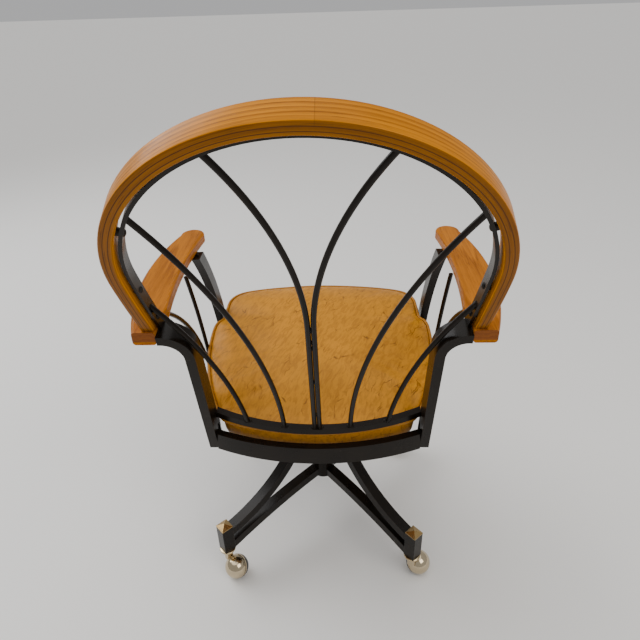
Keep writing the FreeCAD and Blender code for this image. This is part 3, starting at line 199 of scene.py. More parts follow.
def fill(tree, node, inputs):
    """Gives several of a node's inputs their links, colours or values."""
    for label, value in inputs.items():
        feed(tree, node.inputs[label], value)


def add(tree, kind, inputs=None, **settings):
    """A new node with its settings and its inputs in place."""
    node = tree.nodes.new(kind)
    for key, value in settings.items():
        setattr(node, key, value)
    fill(tree, node, inputs or {})
    return node


def new_tree(name, kind, inputs, outputs):
    """A node group with named inputs and outputs, and its first and last node."""
    tree = bpy.data.node_groups.new(name, kind)
    for label, socket_kind, value in inputs:
        socket = tree.interface.new_socket(label, in_out="INPUT", socket_type=socket_kind)
        if value is not None:
            socket.default_value = (*value, 1.0) if socket_kind == "NodeSocketColor" else value
    for label, socket_kind in outputs:
        tree.interface.new_socket(label, in_out="OUTPUT", socket_type=socket_kind)
    return tree, add(tree, "NodeGroupInput"), add(tree, "NodeGroupOutput")


def mapped(tree, vector, label, value):
    """The vector, scaled or turned."""
    return add(tree, "ShaderNodeMapping", {"Vector": vector, label: value}).outputs["Vector"]


def noise(tree, vector, scale, detail, rough, stretch=None, distortion=0.0):
    """A soft random value over the surface, stretched if asked."""
    if stretch:
        vector = mapped(tree, vector, "Scale", stretch)
    return add(tree, "ShaderNodeTexNoise", {"Vector": vector, "Scale": scale, "Detail": detail, "Roughness": rough,
                                            "Distortion": distortion}).outputs["Fac"]


def ramp(tree, fac, stops):
    """Grey levels that a value runs through."""
    node = add(tree, "ShaderNodeValToRGB", {"Fac": fac})
    while len(node.color_ramp.elements) < len(stops):
        node.color_ramp.elements.new(0.5)
    for element, (place, level) in zip(node.color_ramp.elements, stops):
        element.position = place
        element.color = (level, level, level, 1.0)
    return node.outputs["Color"]


def calc(tree, operation, a, b=0.5, clamp=False):
    """One step of arithmetic on values or links."""
    return add(tree, "ShaderNodeMath", {0: a, 1: b}, operation=operation, use_clamp=clamp).outputs[0]


def times(tree, a, b):
    return calc(tree, "MULTIPLY", a, b)


def plus(tree, a, b, clamp=False):
    return calc(tree, "ADD", a, b, clamp)


def minus(tree, a, b):
    return calc(tree, "SUBTRACT", a, b)


def near(tree, value, place, reach):
    """1 where a value in metres lies within a reach of a place, both in millimetres."""
    return calc(tree, "LESS_THAN", calc(tree, "ABSOLUTE", minus(tree, value, place * MM)), reach * MM)


def mix(tree, fac, a, b):
    """The first colour, with a share of the second one over it."""
    return add(tree, "ShaderNodeMix", {0: fac, 6: a, 7: b}, data_type="RGBA").outputs[2]


def split_places(tree, vector):
    """X, Y and Z of a vector."""
    return add(tree, "ShaderNodeSeparateXYZ", {"Vector": vector}).outputs


def pattern_vector(tree, attribute=None, turn=None):
    """Object coordinates, or a piece's own attribute, turned if asked."""
    if attribute:
        vector = add(tree, "ShaderNodeAttribute", attribute_name=attribute).outputs["Vector"]
    else:
        vector = add(tree, "ShaderNodeTexCoord").outputs["Object"]
    return mapped(tree, vector, "Rotation", turn) if turn else vector


def bump(tree, shader, height, strength, distance):
    """Fine relief in the shading, from a height over the surface."""
    node = add(tree, "ShaderNodeBump", {"Height": height, "Strength": strength, "Distance": distance})
    feed(tree, shader.inputs["Normal"], node.outputs["Normal"])


# Shared effects. Oak, joints and dust have colours of their own, and the pattern is laid at an angle on vinyl and arms.

OAK_LIGHT, OAK_DARK = (0.74, 0.27, 0.002), (0.20, 0.052, 0.0)
ARM_OAK_LIGHT, ARM_OAK_DARK = (0.50, 0.165, 0.006), (0.19, 0.05, 0.002)
PORE, GLUE, JOINT, OUTER_PLY = (0.085, 0.028, 0.008), (0.035, 0.012, 0.003), (0.06, 0.02, 0.008), (0.30, 0.10, 0.004)
# The dark colour for the hoop's edge faces is painted shade.
EDGE_SHADE_COLOUR, SAWN_END = (0.10, 0.036, 0.006), (0.16, 0.05, 0.018)
DUST = (0.22, 0.18, 0.14)
VINYL_LAY, ARM_GRAIN = (0, 0, math.radians(24)), (0, 0, math.radians(90))


def oak_figure_group():
    """Oak figure along the vector's X: long growth bands, short dark pores and a slow change of tone."""
    tree, start, end = new_tree("Oak figure", "ShaderNodeTree", [
        ("Vector", "NodeSocketVector", None), ("Light", "NodeSocketColor", OAK_LIGHT),
        ("Dark", "NodeSocketColor", OAK_DARK)],
        [("Color", "NodeSocketColor"), ("Height", "NodeSocketFloat"), ("Roughness", "NodeSocketFloat")])
    vector = start.outputs["Vector"]
    drift = noise(tree, vector, 1.0, detail=2.0, rough=0.5, stretch=(4.0, 26.0, 26.0))
    wave = add(tree, "ShaderNodeTexWave", {
        "Vector": mapped(tree, vector, "Scale", (1.3, 60.0, 60.0)), "Scale": 0.75, "Distortion": 7.0, "Detail": 2.0,
        "Detail Scale": 0.9}, wave_type="BANDS", bands_direction="Z", wave_profile="SAW")
    bands = ramp(tree, wave.outputs["Fac"], [(0.0, 0.05), (0.5, 0.28), (0.86, 0.62), (1.0, 0.18)])
    pores = noise(tree, vector, 1.0, detail=5.0, rough=0.62, stretch=(22.0, 900.0, 900.0))
    streaks = noise(tree, vector, 1.0, detail=3.0, rough=0.5, stretch=(5.0, 210.0, 210.0))
    streak_mask = ramp(tree, streaks, [(0.35, 0.0), (0.7, 1.0)])
    pore_mask = ramp(tree, pores, [(0.36, 1.0), (0.47, 0.0)])
    band_share, streak_share, drift_share, drift_middle = 0.75, 0.35, 0.35, 0.2
    figure = plus(tree, times(tree, bands, band_share), times(tree, streak_mask, streak_share))
    amount = plus(tree, figure, minus(tree, times(tree, drift, drift_share), drift_middle), clamp=True)
    colour = mix(tree, amount, start.outputs["Light"], start.outputs["Dark"])
    pores_in_bands, pores_between = 0.9, 0.15
    pore = times(tree, pore_mask, plus(tree, times(tree, bands, pores_in_bands), pores_between))
    least_rough, pore_rough = 0.3, 0.25
    fill(tree, end, {"Color": mix(tree, pore, colour, PORE), "Height": minus(tree, 1.0, pore),
                     "Roughness": plus(tree, times(tree, pore, pore_rough), least_rough)})
    return tree


def rub_and_dust_group():
    """Rubbed places and settled dust on painted or plated metal."""
    tree, start, end = new_tree("Rub and dust", "ShaderNodeTree", [
        ("Vector", "NodeSocketVector", None), ("Base", "NodeSocketColor", (0.02, 0.02, 0.02)),
        ("Rub", "NodeSocketColor", (0.09, 0.075, 0.06)), ("Amount", "NodeSocketFloat", 0.35),
        ("Polish", "NodeSocketFloat", 0.3)],
        [("Color", "NodeSocketColor"), ("Roughness", "NodeSocketFloat"), ("Height", "NodeSocketFloat")])
    vector, amount = start.outputs["Vector"], start.outputs["Amount"]
    broad = noise(tree, vector, 14.0, detail=5.0, rough=0.6)
    fine = noise(tree, vector, 420.0, detail=2.0, rough=0.5)
    specks = ramp(tree, noise(tree, vector, 160.0, detail=6.0, rough=0.7), [(0.62, 0.0), (0.72, 1.0)])
    rubbed = times(tree, ramp(tree, broad, [(0.42, 0.0), (0.75, 1.0)]), amount)
    colour = mix(tree, rubbed, start.outputs["Base"], start.outputs["Rub"])
    dust_share, rough_spread = 0.3, 0.16
    colour = mix(tree, times(tree, specks, times(tree, amount, dust_share)), colour, DUST)
    rough = plus(tree, start.outputs["Polish"], times(tree, broad, rough_spread))
    fill(tree, end, {"Color": colour, "Roughness": rough, "Height": fine})
    return tree


OAK_FIGURE = oak_figure_group()
RUB_AND_DUST = rub_and_dust_group()


# Finishes

def material(name):
    """A new material, its tree and its main shader."""
    made = bpy.data.materials.new(name)
    made.use_nodes = True
    tree = made.node_tree
    return made, tree, tree.nodes["Principled BSDF"]


def metal(name, base, rub, amount, polish, metallic=1.0, coat=0.0):
    """Painted or plated metal. A low polish value is a bright surface."""
    made, tree, shader = material(name)
    worn = add(tree, "ShaderNodeGroup", {"Vector": pattern_vector(tree), "Base": base, "Rub": rub, "Amount": amount,
                                         "Polish": polish}, node_tree=RUB_AND_DUST)
    fill(tree, shader, {"Base Color": worn.outputs["Color"], "Roughness": worn.outputs["Roughness"],
                        "Metallic": metallic, "Coat Weight": coat, "Coat Roughness": 0.2,
                        "Specular IOR Level": 0.3 if metallic > 0.5 else 0.14})
    bump(tree, shader, worn.outputs["Height"], strength=0.05, distance=0.0004)
    return made


def oak(name, vector_from, light, dark, marks):
    """Oiled oak. The vector's X runs along the grain, and marks adds what the joiner's cuts show, for the hoop with
    painted shade on its edge faces.
    """
    made, tree, shader = material(name)
    vector = pattern_vector(tree, **vector_from)
    figure = add(tree, "ShaderNodeGroup", {"Vector": vector, "Light": light, "Dark": dark}, node_tree=OAK_FIGURE)
    fill(tree, shader, {"Base Color": marks(tree, figure.outputs["Color"]), "Roughness": figure.outputs["Roughness"],
                        "Coat Weight": 0.02, "Coat Roughness": 0.3, "Specular IOR Level": 0.07})
    bump(tree, shader, figure.outputs["Height"], strength=0.25, distance=0.0003)
    return made


def ply_marks(tree, colour):
    """Glue lines, the butt joint of the outer ply with the darker length beyond it, and painted shade on the hoop's
    edge faces.
    """
    glue_share, joint_share, outer_share, edge_shade_share = 0.9, 0.3, 0.16, 0.62
    along, deep, across = split_places(tree, pattern_vector(tree, "grain_place"))
    for depth in (PLY, 2 * PLY):
        colour = mix(tree, times(tree, near(tree, deep, depth, GLUE_LINE), glue_share), colour, GLUE)
    outer = calc(tree, "LESS_THAN", deep, PLY * MM)
    joint = times(tree, near(tree, along, PLY_JOINT_AT, PLY_JOINT), outer)
    colour = mix(tree, times(tree, joint, joint_share), colour, JOINT)
    beyond = times(tree, calc(tree, "GREATER_THAN", along, PLY_JOINT_AT * MM), outer)
    colour = mix(tree, times(tree, beyond, outer_share), colour, OUTER_PLY)
    # The hoop's edge faces are darkened with painted shade.
    from_middle = calc(tree, "ABSOLUTE", minus(tree, across, HOOP_WIDE / 2 * MM))
    shaded_edge = calc(tree, "GREATER_THAN", from_middle, (HOOP_WIDE / 2 - EDGE_SHADE_WIDTH) * MM)
    return mix(tree, times(tree, shaded_edge, edge_shade_share), colour, EDGE_SHADE_COLOUR)


def sawn_ends(tree, colour):
    """Dark end grain at the armrests' rear."""
    share = 0.75
    behind = calc(tree, "GREATER_THAN", split_places(tree, pattern_vector(tree))["Y"], ARM_SAWN_Y * MM)
    return mix(tree, times(tree, behind, share), colour, SAWN_END)


def vinyl(name, base, vein, crease_share):
    """Marbled upholstery vinyl: leather grain, directional creases and soft cloudy tone."""
    made, tree, shader = material(name)
    vector = pattern_vector(tree, turn=VINYL_LAY)
    cloud = noise(tree, vector, 9.0, detail=5.0, rough=0.6)
    fibre = noise(tree, vector, 1.0, detail=6.0, rough=0.62, stretch=(150.0, 38.0, 90.0), distortion=0.6)
    warp = noise(tree, vector, 22.0, detail=3.0, rough=0.6)
    reach, cloud_dark, vein_share, vein_dark, grain_height = 0.028, 0.74, 0.42, 0.6, 0.35
    least_rough, rough_spread = 0.33, 0.18
    push = add(tree, "ShaderNodeCombineXYZ", {"X": warp, "Y": cloud}).outputs["Vector"]
    push = add(tree, "ShaderNodeVectorMath", {0: push, "Scale": reach}, operation="SCALE").outputs["Vector"]
    pushed = add(tree, "ShaderNodeVectorMath", {0: vector, 1: push}, operation="ADD").outputs["Vector"]
    cells = add(tree, "ShaderNodeTexVoronoi", {"Vector": mapped(tree, pushed, "Scale", (62.0, 17.0, 40.0)),
                                               "Scale": 1.0, "Randomness": 1.0}, feature="DISTANCE_TO_EDGE")
    creases = ramp(tree, cells.outputs["Distance"], [(0.0, 1.0), (0.05, 0.0)])
    broken = ramp(tree, noise(tree, vector, 34.0, detail=3.0, rough=0.6), [(0.50, 0.0), (0.64, 1.0)])
    creases = times(tree, times(tree, creases, broken), crease_share)
    colour = mix(tree, ramp(tree, cloud, [(0.3, 0.0), (0.7, 1.0)]), base, tuple(c * cloud_dark for c in base))
    colour = mix(tree, times(tree, ramp(tree, fibre, [(0.40, 1.0), (0.56, 0.0)]), vein_share), colour, vein)
    colour = mix(tree, creases, colour, tuple(c * vein_dark for c in vein))
    grain = add(tree, "ShaderNodeTexVoronoi", {"Vector": vector, "Scale": 900.0}).outputs["Distance"]
    fill(tree, shader, {"Base Color": colour, "Specular IOR Level": 0.2,
                        "Roughness": plus(tree, times(tree, cloud, rough_spread), least_rough)})
    bump(tree, shader, minus(tree, times(tree, grain, grain_height), creases), strength=0.22, distance=0.0006)
    return made


def plain(name, base, rough, spread, scale):
    """Moulded or raw stuff with a mottled tone."""
    made, tree, shader = material(name)
    mottle = noise(tree, pattern_vector(tree), scale, detail=5.0, rough=0.6)
    dark, rough_spread = 0.45, 0.2
    colour = mix(tree, times(tree, mottle, spread), base, tuple(c * dark for c in base))
    rough = plus(tree, times(tree, mottle, rough_spread), rough - rough_spread / 2)
    fill(tree, shader, {"Base Color": colour, "Roughness": rough})
    bump(tree, shader, mottle, strength=0.12, distance=0.0004)
    return made


FRAME_PAINT = metal("Dark bronze paint", base=(0.0065, 0.0042, 0.0026), rub=(0.020, 0.013, 0.007), amount=0.35,
                    polish=0.2, metallic=0.0, coat=0.06)
CONTROL_PAINT = metal("Black control paint", base=(0.012, 0.012, 0.012), rub=(0.05, 0.045, 0.04), amount=0.4,
                      polish=0.3, metallic=0.2, coat=0.2)
BRASS = metal("Antique brass", base=(0.62, 0.50, 0.31), rub=(0.30, 0.22, 0.12), amount=0.55, polish=0.08)
CAP_BRASS = metal("Cap brass", base=(0.46, 0.31, 0.13), rub=(0.11, 0.07, 0.03), amount=0.85, polish=0.14)
BALL_BRASS = metal("Ball plating", base=(0.60, 0.50, 0.34), rub=(0.36, 0.28, 0.17), amount=0.5, polish=0.05)
STEEL = metal("Turned steel", base=(0.42, 0.41, 0.39), rub=(0.22, 0.2, 0.18), amount=0.5, polish=0.22)
SCREW_PAINT = metal("Black screw", base=(0.014, 0.012, 0.011), rub=(0.09, 0.08, 0.07), amount=0.5, polish=0.28,
                    metallic=0.6)
SEAT_VINYL = vinyl("Caramel vinyl", base=(0.62, 0.25, 0.006), vein=(0.24, 0.08, 0.003), crease_share=1.0)
WELT_VINYL = vinyl("Caramel piping", base=(0.44, 0.18, 0.012), vein=(0.25, 0.09, 0.006), crease_share=0.5)
HOOP_OAK = oak("Bent oak", {"attribute": "grain_place"}, OAK_LIGHT, OAK_DARK, ply_marks)
ARM_OAK = oak("Arm oak", {"turn": ARM_GRAIN}, ARM_OAK_LIGHT, ARM_OAK_DARK, sawn_ends)
BOARD_WOOD = plain("Plywood board", (0.36, 0.23, 0.12), rough=0.7, spread=0.6, scale=60.0)
BUSH_PLASTIC = plain("Bush plastic", (0.62, 0.58, 0.5), rough=0.5, spread=0.3, scale=90.0)
KNOB_PLASTIC = plain("Knob plastic", (0.02, 0.02, 0.02), rough=0.45, spread=0.4, scale=120.0)
TREAD_RUBBER = plain("Caster tread", (0.025, 0.024, 0.023), rough=0.5, spread=0.6, scale=150.0)

SLOT_LOOKS = {"frame_paint": FRAME_PAINT, "control_paint": CONTROL_PAINT, "brass": BRASS, "bright_steel": STEEL,
              "bush_plastic": BUSH_PLASTIC, "board": BOARD_WOOD, "vinyl": SEAT_VINYL, "oak": ARM_OAK,
              "dark_screw": SCREW_PAINT, "knob_plastic": KNOB_PLASTIC, "tread": TREAD_RUBBER}


def dress_nodes():
    """Gives every solid its finish. The leg caps and the casters have a brass of their own."""
    for entry in frame["record"]["subparts"]:
        name = entry["node"]
        look = SLOT_LOOKS[entry["material_slot"]]
        if name == "leg_caps":
            look = CAP_BRASS
        if name.startswith(("caster_hood", "caster_wheel")):
            look = BALL_BRASS
        nodes[name].data.materials.clear()
        nodes[name].data.materials.append(look)


# Bent oak hoop

def hoop_to_world(x, up, forward):
    """A point of the hoop's leaning plane, with forward square to the plane."""
    lean = math.radians(RECLINE)
    return (x, HOOP_Y + up * math.sin(lean) - forward * math.cos(lean),
            HOOP_Z + up * math.cos(lean) + forward * math.sin(lean))


def side_x(inset, drop):
    """Half width of the side curve at a drop below the arc's centre."""
    far = SIDE_R - inset
    return HOOP_R - SIDE_R + math.sqrt(far * far - drop * drop)


def end_drop(inset, forward):
    """How far down the side a line of the hoop meets the armrest's top, closed in on from a first guess."""
    drop, tries = 110.0, 6
    for _ in range(tries):
        _, y, z = hoop_to_world(side_x(inset, drop), -drop, forward)
        top = ARM_Z + (ARM_Y - y) * math.tan(math.radians(ARM_SLOPE))
        drop += (z - top - ARM_GAP) / math.cos(math.radians(RECLINE))
    return drop


def rounded_section(wide, thick, radius, steps):
    """Points (inset, forward) round a rectangle with eased corners."""
    points = []
    corners = [(radius, radius, 180), (thick - radius, radius, 270), (thick - radius, wide - radius, 0),
               (radius, wide - radius, 90)]
    for cx, cy, first in corners:
        for i in range(steps + 1):
            turn = math.radians(first + 90.0 * i / steps)
            points.append((cx + radius * math.cos(turn), cy + radius * math.sin(turn)))
    return points


def build_hoop():
    """Sweeps the section up one side, over the top and down the other, and notes each point's place in the oak."""
    section = rounded_section(HOOP_WIDE, HOOP_THICK, HOOP_EASE, CORNER_STEPS)
    rings = [("right", 1.0 - i / HOOP_SIDE_STEPS) for i in range(HOOP_SIDE_STEPS)]
    rings += [("arc", math.pi * i / HOOP_ARC_STEPS) for i in range(HOOP_ARC_STEPS + 1)]
    rings += [("left", i / HOOP_SIDE_STEPS) for i in range(1, HOOP_SIDE_STEPS + 1)]
    verts, places = [], []
    for kind, value in rings:
        for inset, forward in section:
            if kind == "arc":
                x, up = (HOOP_R - inset) * math.cos(value), (HOOP_R - inset) * math.sin(value)
                along = HOOP_R * value
            else:
                drop = value * end_drop(inset, forward)
                x, up = side_x(inset, drop), -drop
                along = -drop
                if kind == "left":
                    x, along = -x, HOOP_R * math.pi + drop
            verts.append(hoop_to_world(x, up, forward))
            places += [along * MM, inset * MM, forward * MM]
    count = len(section)
    last = (len(rings) - 1) * count
    faces = ring_faces(len(rings), count)
    faces += [tuple(range(count)), tuple(last + j for j in reversed(range(count)))]
    hoop = mesh_piece("bent_oak_hoop", verts, faces, HOOP_OAK)
    hoop.data.attributes.new("grain_place", "FLOAT_VECTOR", "POINT").data.foreach_set("vector", places)
    sharpen(outward(hoop))
    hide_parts("wood_hoop")
    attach(hoop, "chair")


# Seat

def seat_curve(count):
    """Closed smooth outline through the half outline and its mirror, evenly spaced."""
    ring = SEAT_HALF + [(-x, y) for x, y in reversed(SEAT_HALF[1:-1])]
    n, steps = len(ring), 12
    dense = []
    for i in range(n):
        p0, p1, p2, p3 = (np.array(ring[(i + k - 1) % n], float) for k in range(4))
        for s in range(steps):
            t = s / steps
            dense.append(0.5 * ((2 * p1) + (p2 - p0) * t + (2 * p0 - 5 * p1 + 4 * p2 - p3) * t * t
                                + (3 * p1 - p0 - 3 * p2 + p3) * t ** 3))
    dense = np.array(dense + [dense[0]])
    length = np.concatenate([[0], np.cumsum(np.linalg.norm(np.diff(dense, axis=0), axis=1))])
    at = np.linspace(0, length[-1], count, endpoint=False)
    return np.stack([np.interp(at, length, dense[:, k]) for k in range(2)], 1)


def inset_curve(curve, by):
    """Moves a closed outline inward by a distance, keeping its point count."""
    ahead = np.roll(curve, -1, 0) - np.roll(curve, 1, 0)
    ahead /= np.linalg.norm(ahead, axis=1)[:, None]
    normal = np.stack([ahead[:, 1], -ahead[:, 0]], 1)
    if (normal * (curve - np.array([0, SEAT_MID_Y]))).sum(1).mean() < 0:
        normal = -normal
    return curve - normal * by


def pitched(points, degrees):
    """Turns seat points about the hinge line. A negative angle lifts the front."""
    a = math.radians(degrees)
    turned = np.array(points, float)
    dy, dz = turned[:, 1] - HINGE_Y, turned[:, 2] - HINGE_Z
    turned[:, 1] = HINGE_Y + dy * math.cos(a) - dz * math.sin(a)
    turned[:, 2] = HINGE_Z + dy * math.sin(a) + dz * math.cos(a)
    return turned


def ease(share):
    """Runs from 0 to 1 with a soft start and end."""
    share = np.clip(share, 0, 1)
    return share * share * (3 - 2 * share)


def seam_height(y):
    """Height of the piping before the seat is pitched."""
    y = np.asarray(y, float)
    drop = WELT_DROP * ease((y - WELT_DROP_Y) / WELT_RUN)
    return SEAT_FLOOR + SKIRT - drop + WELT_RISE * np.clip((y - WELT_RISE_Y) / WELT_RUN, 0, 1)


def cushion_form():
    """Crowned pad before it is inflated: boxing with a waist, then a domed top."""
    outline = seat_curve(PAD_POINTS)
    behind = ease((outline[:, 1] - SKIRT_Y) / SKIRT_RUN) * ease((SKIRT_X - np.abs(outline[:, 0])) / SKIRT_EDGE)
    high = seam_height(outline[:, 1])
    verts = []
    for inset, rise, lower in BOXING:
        low = SEAT_FLOOR + PAD_LIFT - SKIRT_DROP * lower * behind
        verts += [(x, y, a + (b - a) * rise) for (x, y), a, b in zip(inset_curve(outline, inset), low, high)]
    edge = inset_curve(outline, PAD_INSET)
    centre = np.array([0, SEAT_MID_Y])
    for share in TOP_SHARES:
        ring = centre + (edge - centre) * share
        fade = 1 - REAR_FLAT * ease((ring[:, 1] - CROWN_FADE_Y) / CROWN_FADE_RUN)
        rise = CROWN * (1 - share ** CROWN_EDGE) ** CROWN_FULLNESS * fade
        verts += [(x, y, a + b) for (x, y), a, b in zip(ring, seam_height(ring[:, 1]), rise)]
    rings = len(BOXING) + len(TOP_SHARES)
    last = (rings - 1) * PAD_POINTS
    faces = ring_faces(rings, PAD_POINTS) + [tuple(reversed(range(PAD_POINTS)))]
    faces += [(last + j, last + (j + 1) % PAD_POINTS, len(verts)) for j in range(PAD_POINTS)]
    verts.append((0, SEAT_MID_Y, SEAT_FLOOR + SKIRT + CROWN))
    return pitched(verts, -SEAT_PITCH), faces


def point_places(mesh):
    """Places of a mesh's points, one row each."""
    places = np.zeros(len(mesh.vertices) * 3)
    mesh.vertices.foreach_get("co", places)
    return places.reshape(-1, 3)


def inflate(pad, pin, cap):
    """Blows up a pad as cloth, holds the pinned points, and limits how far the rest may move."""
    rest = point_places(pad.data)
    group = pad.vertex_groups.new(name="held")
    group.add([int(index) for index in np.flatnonzero(pin)], 1.0, "REPLACE")
    cloth = pad.modifiers.new("padding", "CLOTH")
    cloth.settings.use_pressure = True
    cloth.settings.uniform_pressure_force = PRESSURE
    cloth.settings.effector_weights.gravity = 0
    cloth.settings.vertex_group_mass = "held"
    cloth.settings.quality = 6
    cloth.settings.tension_stiffness = 22
    cloth.settings.compression_stiffness = 22
    cloth.settings.bending_stiffness = 1.2
    cloth.collision_settings.use_collision = False
    for number in range(1, SWELL_FRAMES + 1):
        scene.frame_set(number)
    depsgraph = bpy.context.evaluated_depsgraph_get()
    shaped = bpy.data.meshes.new_from_object(pad.evaluated_get(depsgraph))
    shift = point_places(shaped) - rest
    length = np.linalg.norm(shift, axis=1)
    limit = cap * np.tanh(length / np.maximum(cap, 1e-6))
    shift *= (limit / np.maximum(length, 1e-9))[:, None]
    pad.modifiers.clear()
    pad.data.vertices.foreach_set("co", (rest + shift).ravel())
    pad.data.update()
    scene.frame_set(1)
    bpy.data.meshes.remove(shaped)


def swell(pad):
    """Holds the pad at its floor and along the piping, and lets the rest swell."""
    flat = pitched(np.array([v.co for v in pad.data.vertices]) / MM, SEAT_PITCH)
    seam = seam_height(flat[:, 1])
    outline = inset_curve(seat_curve(SEAM_POINTS), PAD_INSET)
    gap = np.array([np.sqrt(((outline - p[:2]) ** 2).sum(1).min()) for p in flat])
    at_floor = flat[:, 2] < SEAT_FLOOR + HELD_BAND
    at_welt = (np.abs(flat[:, 2] - seam) < HELD_BAND) & (gap < HELD_BAND)
    cap = np.where(flat[:, 2] > seam, TOP_SWELL * MM, BOXING_SWELL * MM)
    cap *= 1 - REAR_FLAT * ease((flat[:, 1] - SWELL_FADE_Y) / SWELL_FADE_RUN)
    inflate(pad, at_floor | at_welt, cap)


def soften(pad):
    """Softens the facets that the remesh leaves, and subdivides the pad once."""
    smooth = pad.modifiers.new("soften", "CORRECTIVE_SMOOTH")
    smooth.factor = 0.6
    smooth.iterations = 4
    smooth.use_only_smooth = True
    smooth.use_pin_boundary = False
    finer = pad.modifiers.new("finer", "SUBSURF")
    finer.levels = 1
    finer.render_levels = 1
    baked(pad)
    all_smooth(pad)


def build_cushion():
    """Vinyl pad."""
    verts, faces = cushion_form()
    pad = outward(mesh_piece("seat_pad", verts, faces, SEAT_VINYL))
    remesh = pad.modifiers.new("even", "REMESH")
    remesh.mode = "VOXEL"
    remesh.voxel_size = PAD_VOXEL * MM
    remesh.use_smooth_shade = True
    baked(pad)
    swell(pad)
    soften(pad)
    pad.data.materials.clear()
    pad.data.materials.append(SEAT_VINYL)
    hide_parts("seat_cushion")
    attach(pad, "chair")


def tube(points, radius, sides, closed=False, first=0):
    """Round tube along a path of points, without twist, as verts and faces."""
    points = [Vector(p) for p in points]
    n = len(points)
    tangents = []
    for i in range(n):
        a = points[(i - 1) % n] if closed or i > 0 else points[i]
        b = points[(i + 1) % n] if closed or i < n - 1 else points[i]
        tangents.append((b - a).normalized())
    side = tangents[0].orthogonal().normalized()
    verts = []
    for point, tangent in zip(points, tangents):
        side = (side - tangent * side.dot(tangent)).normalized()
        other = tangent.cross(side)
        for k in range(sides):
            turn = 2 * math.pi * k / sides
            verts.append(tuple(point + (side * math.cos(turn) + other * math.sin(turn)) * radius))
    faces = ring_faces(n, sides, closed, first)
    if not closed:
        faces += [tuple(first + k for k in reversed(range(sides))),
                  tuple(first + (n - 1) * sides + k for k in range(sides))]
    return verts, faces


def build_welt():
    """Piping round the top edge of the boxing, with the seam flange that it is sewn in by."""
    verts, faces = [], []
    for inset, below, radius, sides in ((WELT_INSET, 0.0, WELT_R, 12), (FLANGE_INSET, FLANGE_BELOW, FLANGE_R, 6)):
        path = [(x, y, seam_height(y) - below) for x, y in inset_curve(seat_curve(WELT_POINTS), inset)]
        more, more_faces = tube(pitched(path, -SEAT_PITCH), radius, sides, True, len(verts))
        verts += more
        faces += more_faces
    welt = outward(mesh_piece("seat_piping", verts, faces, WELT_VINYL))
    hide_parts("seat_welt")
    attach(welt, "chair")


# Turned rings and tension spring

def build_collars():
    """Two turned rings under each leg block, round the caster's socket."""
    verts, faces = [], []
    for x, y in CASTER_PLACES:
        faces += ring_faces(COLLAR_SIDES, len(COLLAR_PROFILE), True, len(verts))
        for k in range(COLLAR_SIDES):
            turn = 2 * math.pi * k / COLLAR_SIDES
            verts += [(x + r * math.cos(turn), y + r * math.sin(turn), z) for r, z in COLLAR_PROFILE]
    collars = outward(mesh_piece("leg_collars", verts, faces, BRASS))
    sharpen(collars)
    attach(collars, "base")


def build_spring():
    """Tension spring with a closed coil at each end. It stays on its bolt."""
    path = []
    turns = SPRING_FREE_TURNS + 2
    for k in range(int(turns * SPRING_STEPS) + 1):
        u = k / SPRING_STEPS
        free = min(max(u - 1, 0), SPRING_FREE_TURNS) / SPRING_FREE_TURNS
        closed = min(u, 1) + max(u - 1 - SPRING_FREE_TURNS, 0)
        z = SPRING_LOW + SPRING_WIRE + CLOSED_PITCH * SPRING_WIRE * closed
        z += (SPRING_HIGH - SPRING_LOW - 2 * SPRING_WIRE - 2 * CLOSED_PITCH * SPRING_WIRE) * free
        path.append((SPRING_R * math.cos(2 * math.pi * u), SPRING_Y + SPRING_R * math.sin(2 * math.pi * u), z))
    verts, faces = tube(path, SPRING_WIRE * WIRE_SHARE, 10)
    spring = outward(mesh_piece("coil_spring", verts, faces, STEEL))
    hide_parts("tension_spring")
    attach(spring, "chair")
    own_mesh(spring)


# Small parts that repeat: screw heads and weld beads

def spot_mesh(name, spots):
    """Loose points, each with the direction that its small part faces."""
    mesh = bpy.data.meshes.new(name)
    mesh.from_pydata([tuple(c * MM for c in place) for place, _ in spots], [], [])
    facing = mesh.attributes.new("facing", "FLOAT_VECTOR", "POINT")
    facing.data.foreach_set("vector", [c for _, way in spots for c in way])
    return link(bpy.data.objects.new(name, mesh))


def repeat_tree(name, part, finish, size_name, size, spread):
    """Puts a small part on every point, faced along its direction and turned at random."""
    tree, start, end = new_tree(name, "GeometryNodeTree", [
        ("Geometry", "NodeSocketGeometry", None), (size_name, "NodeSocketFloat", size),
        ("Size Spread", "NodeSocketFloat", spread), ("Seed", "NodeSocketInt", 7)],
        [("Geometry", "NodeSocketGeometry")])
    given = start.outputs
    points = add(tree, "GeometryNodeMeshToPoints", {"Mesh": given["Geometry"]})
    way = add(tree, "GeometryNodeInputNamedAttribute", {"Name": "facing"}, data_type="FLOAT_VECTOR")
    align = add(tree, "FunctionNodeAlignRotationToVector", {"Vector": way.outputs["Attribute"]}, axis="Z")
    full_turn = 6.283
    spin = add(tree, "FunctionNodeRandomValue", {3: full_turn, "Seed": given["Seed"]}, data_type="FLOAT")
    about = add(tree, "FunctionNodeAxisAngleToRotation", {"Angle": spin.outputs[1]})
    turn = add(tree, "FunctionNodeRotateRotation", {"Rotation": align.outputs["Rotation"],
                                                    "Rotate By": about.outputs["Rotation"]}, rotation_space="LOCAL")
    low = minus(tree, given[size_name], given["Size Spread"])
    high = plus(tree, given[size_name], given["Size Spread"])
    scale = add(tree, "FunctionNodeRandomValue", {2: low, 3: high, "Seed": given["Seed"]}, data_type="FLOAT")
    shape = add(tree, "GeometryNodeObjectInfo", {"Object": part})
    put = add(tree, "GeometryNodeInstanceOnPoints", {
        "Points": points.outputs["Points"], "Instance": shape.outputs["Geometry"],
        "Rotation": turn.outputs["Rotation"], "Scale": scale.outputs[1]})
    real = add(tree, "GeometryNodeRealizeInstances", {"Geometry": put.outputs["Instances"]})
    paint = add(tree, "GeometryNodeSetMaterial", {"Geometry": real.outputs["Geometry"], "Material": finish})
    fill(tree, end, {"Geometry": paint.outputs["Geometry"]})
    return tree


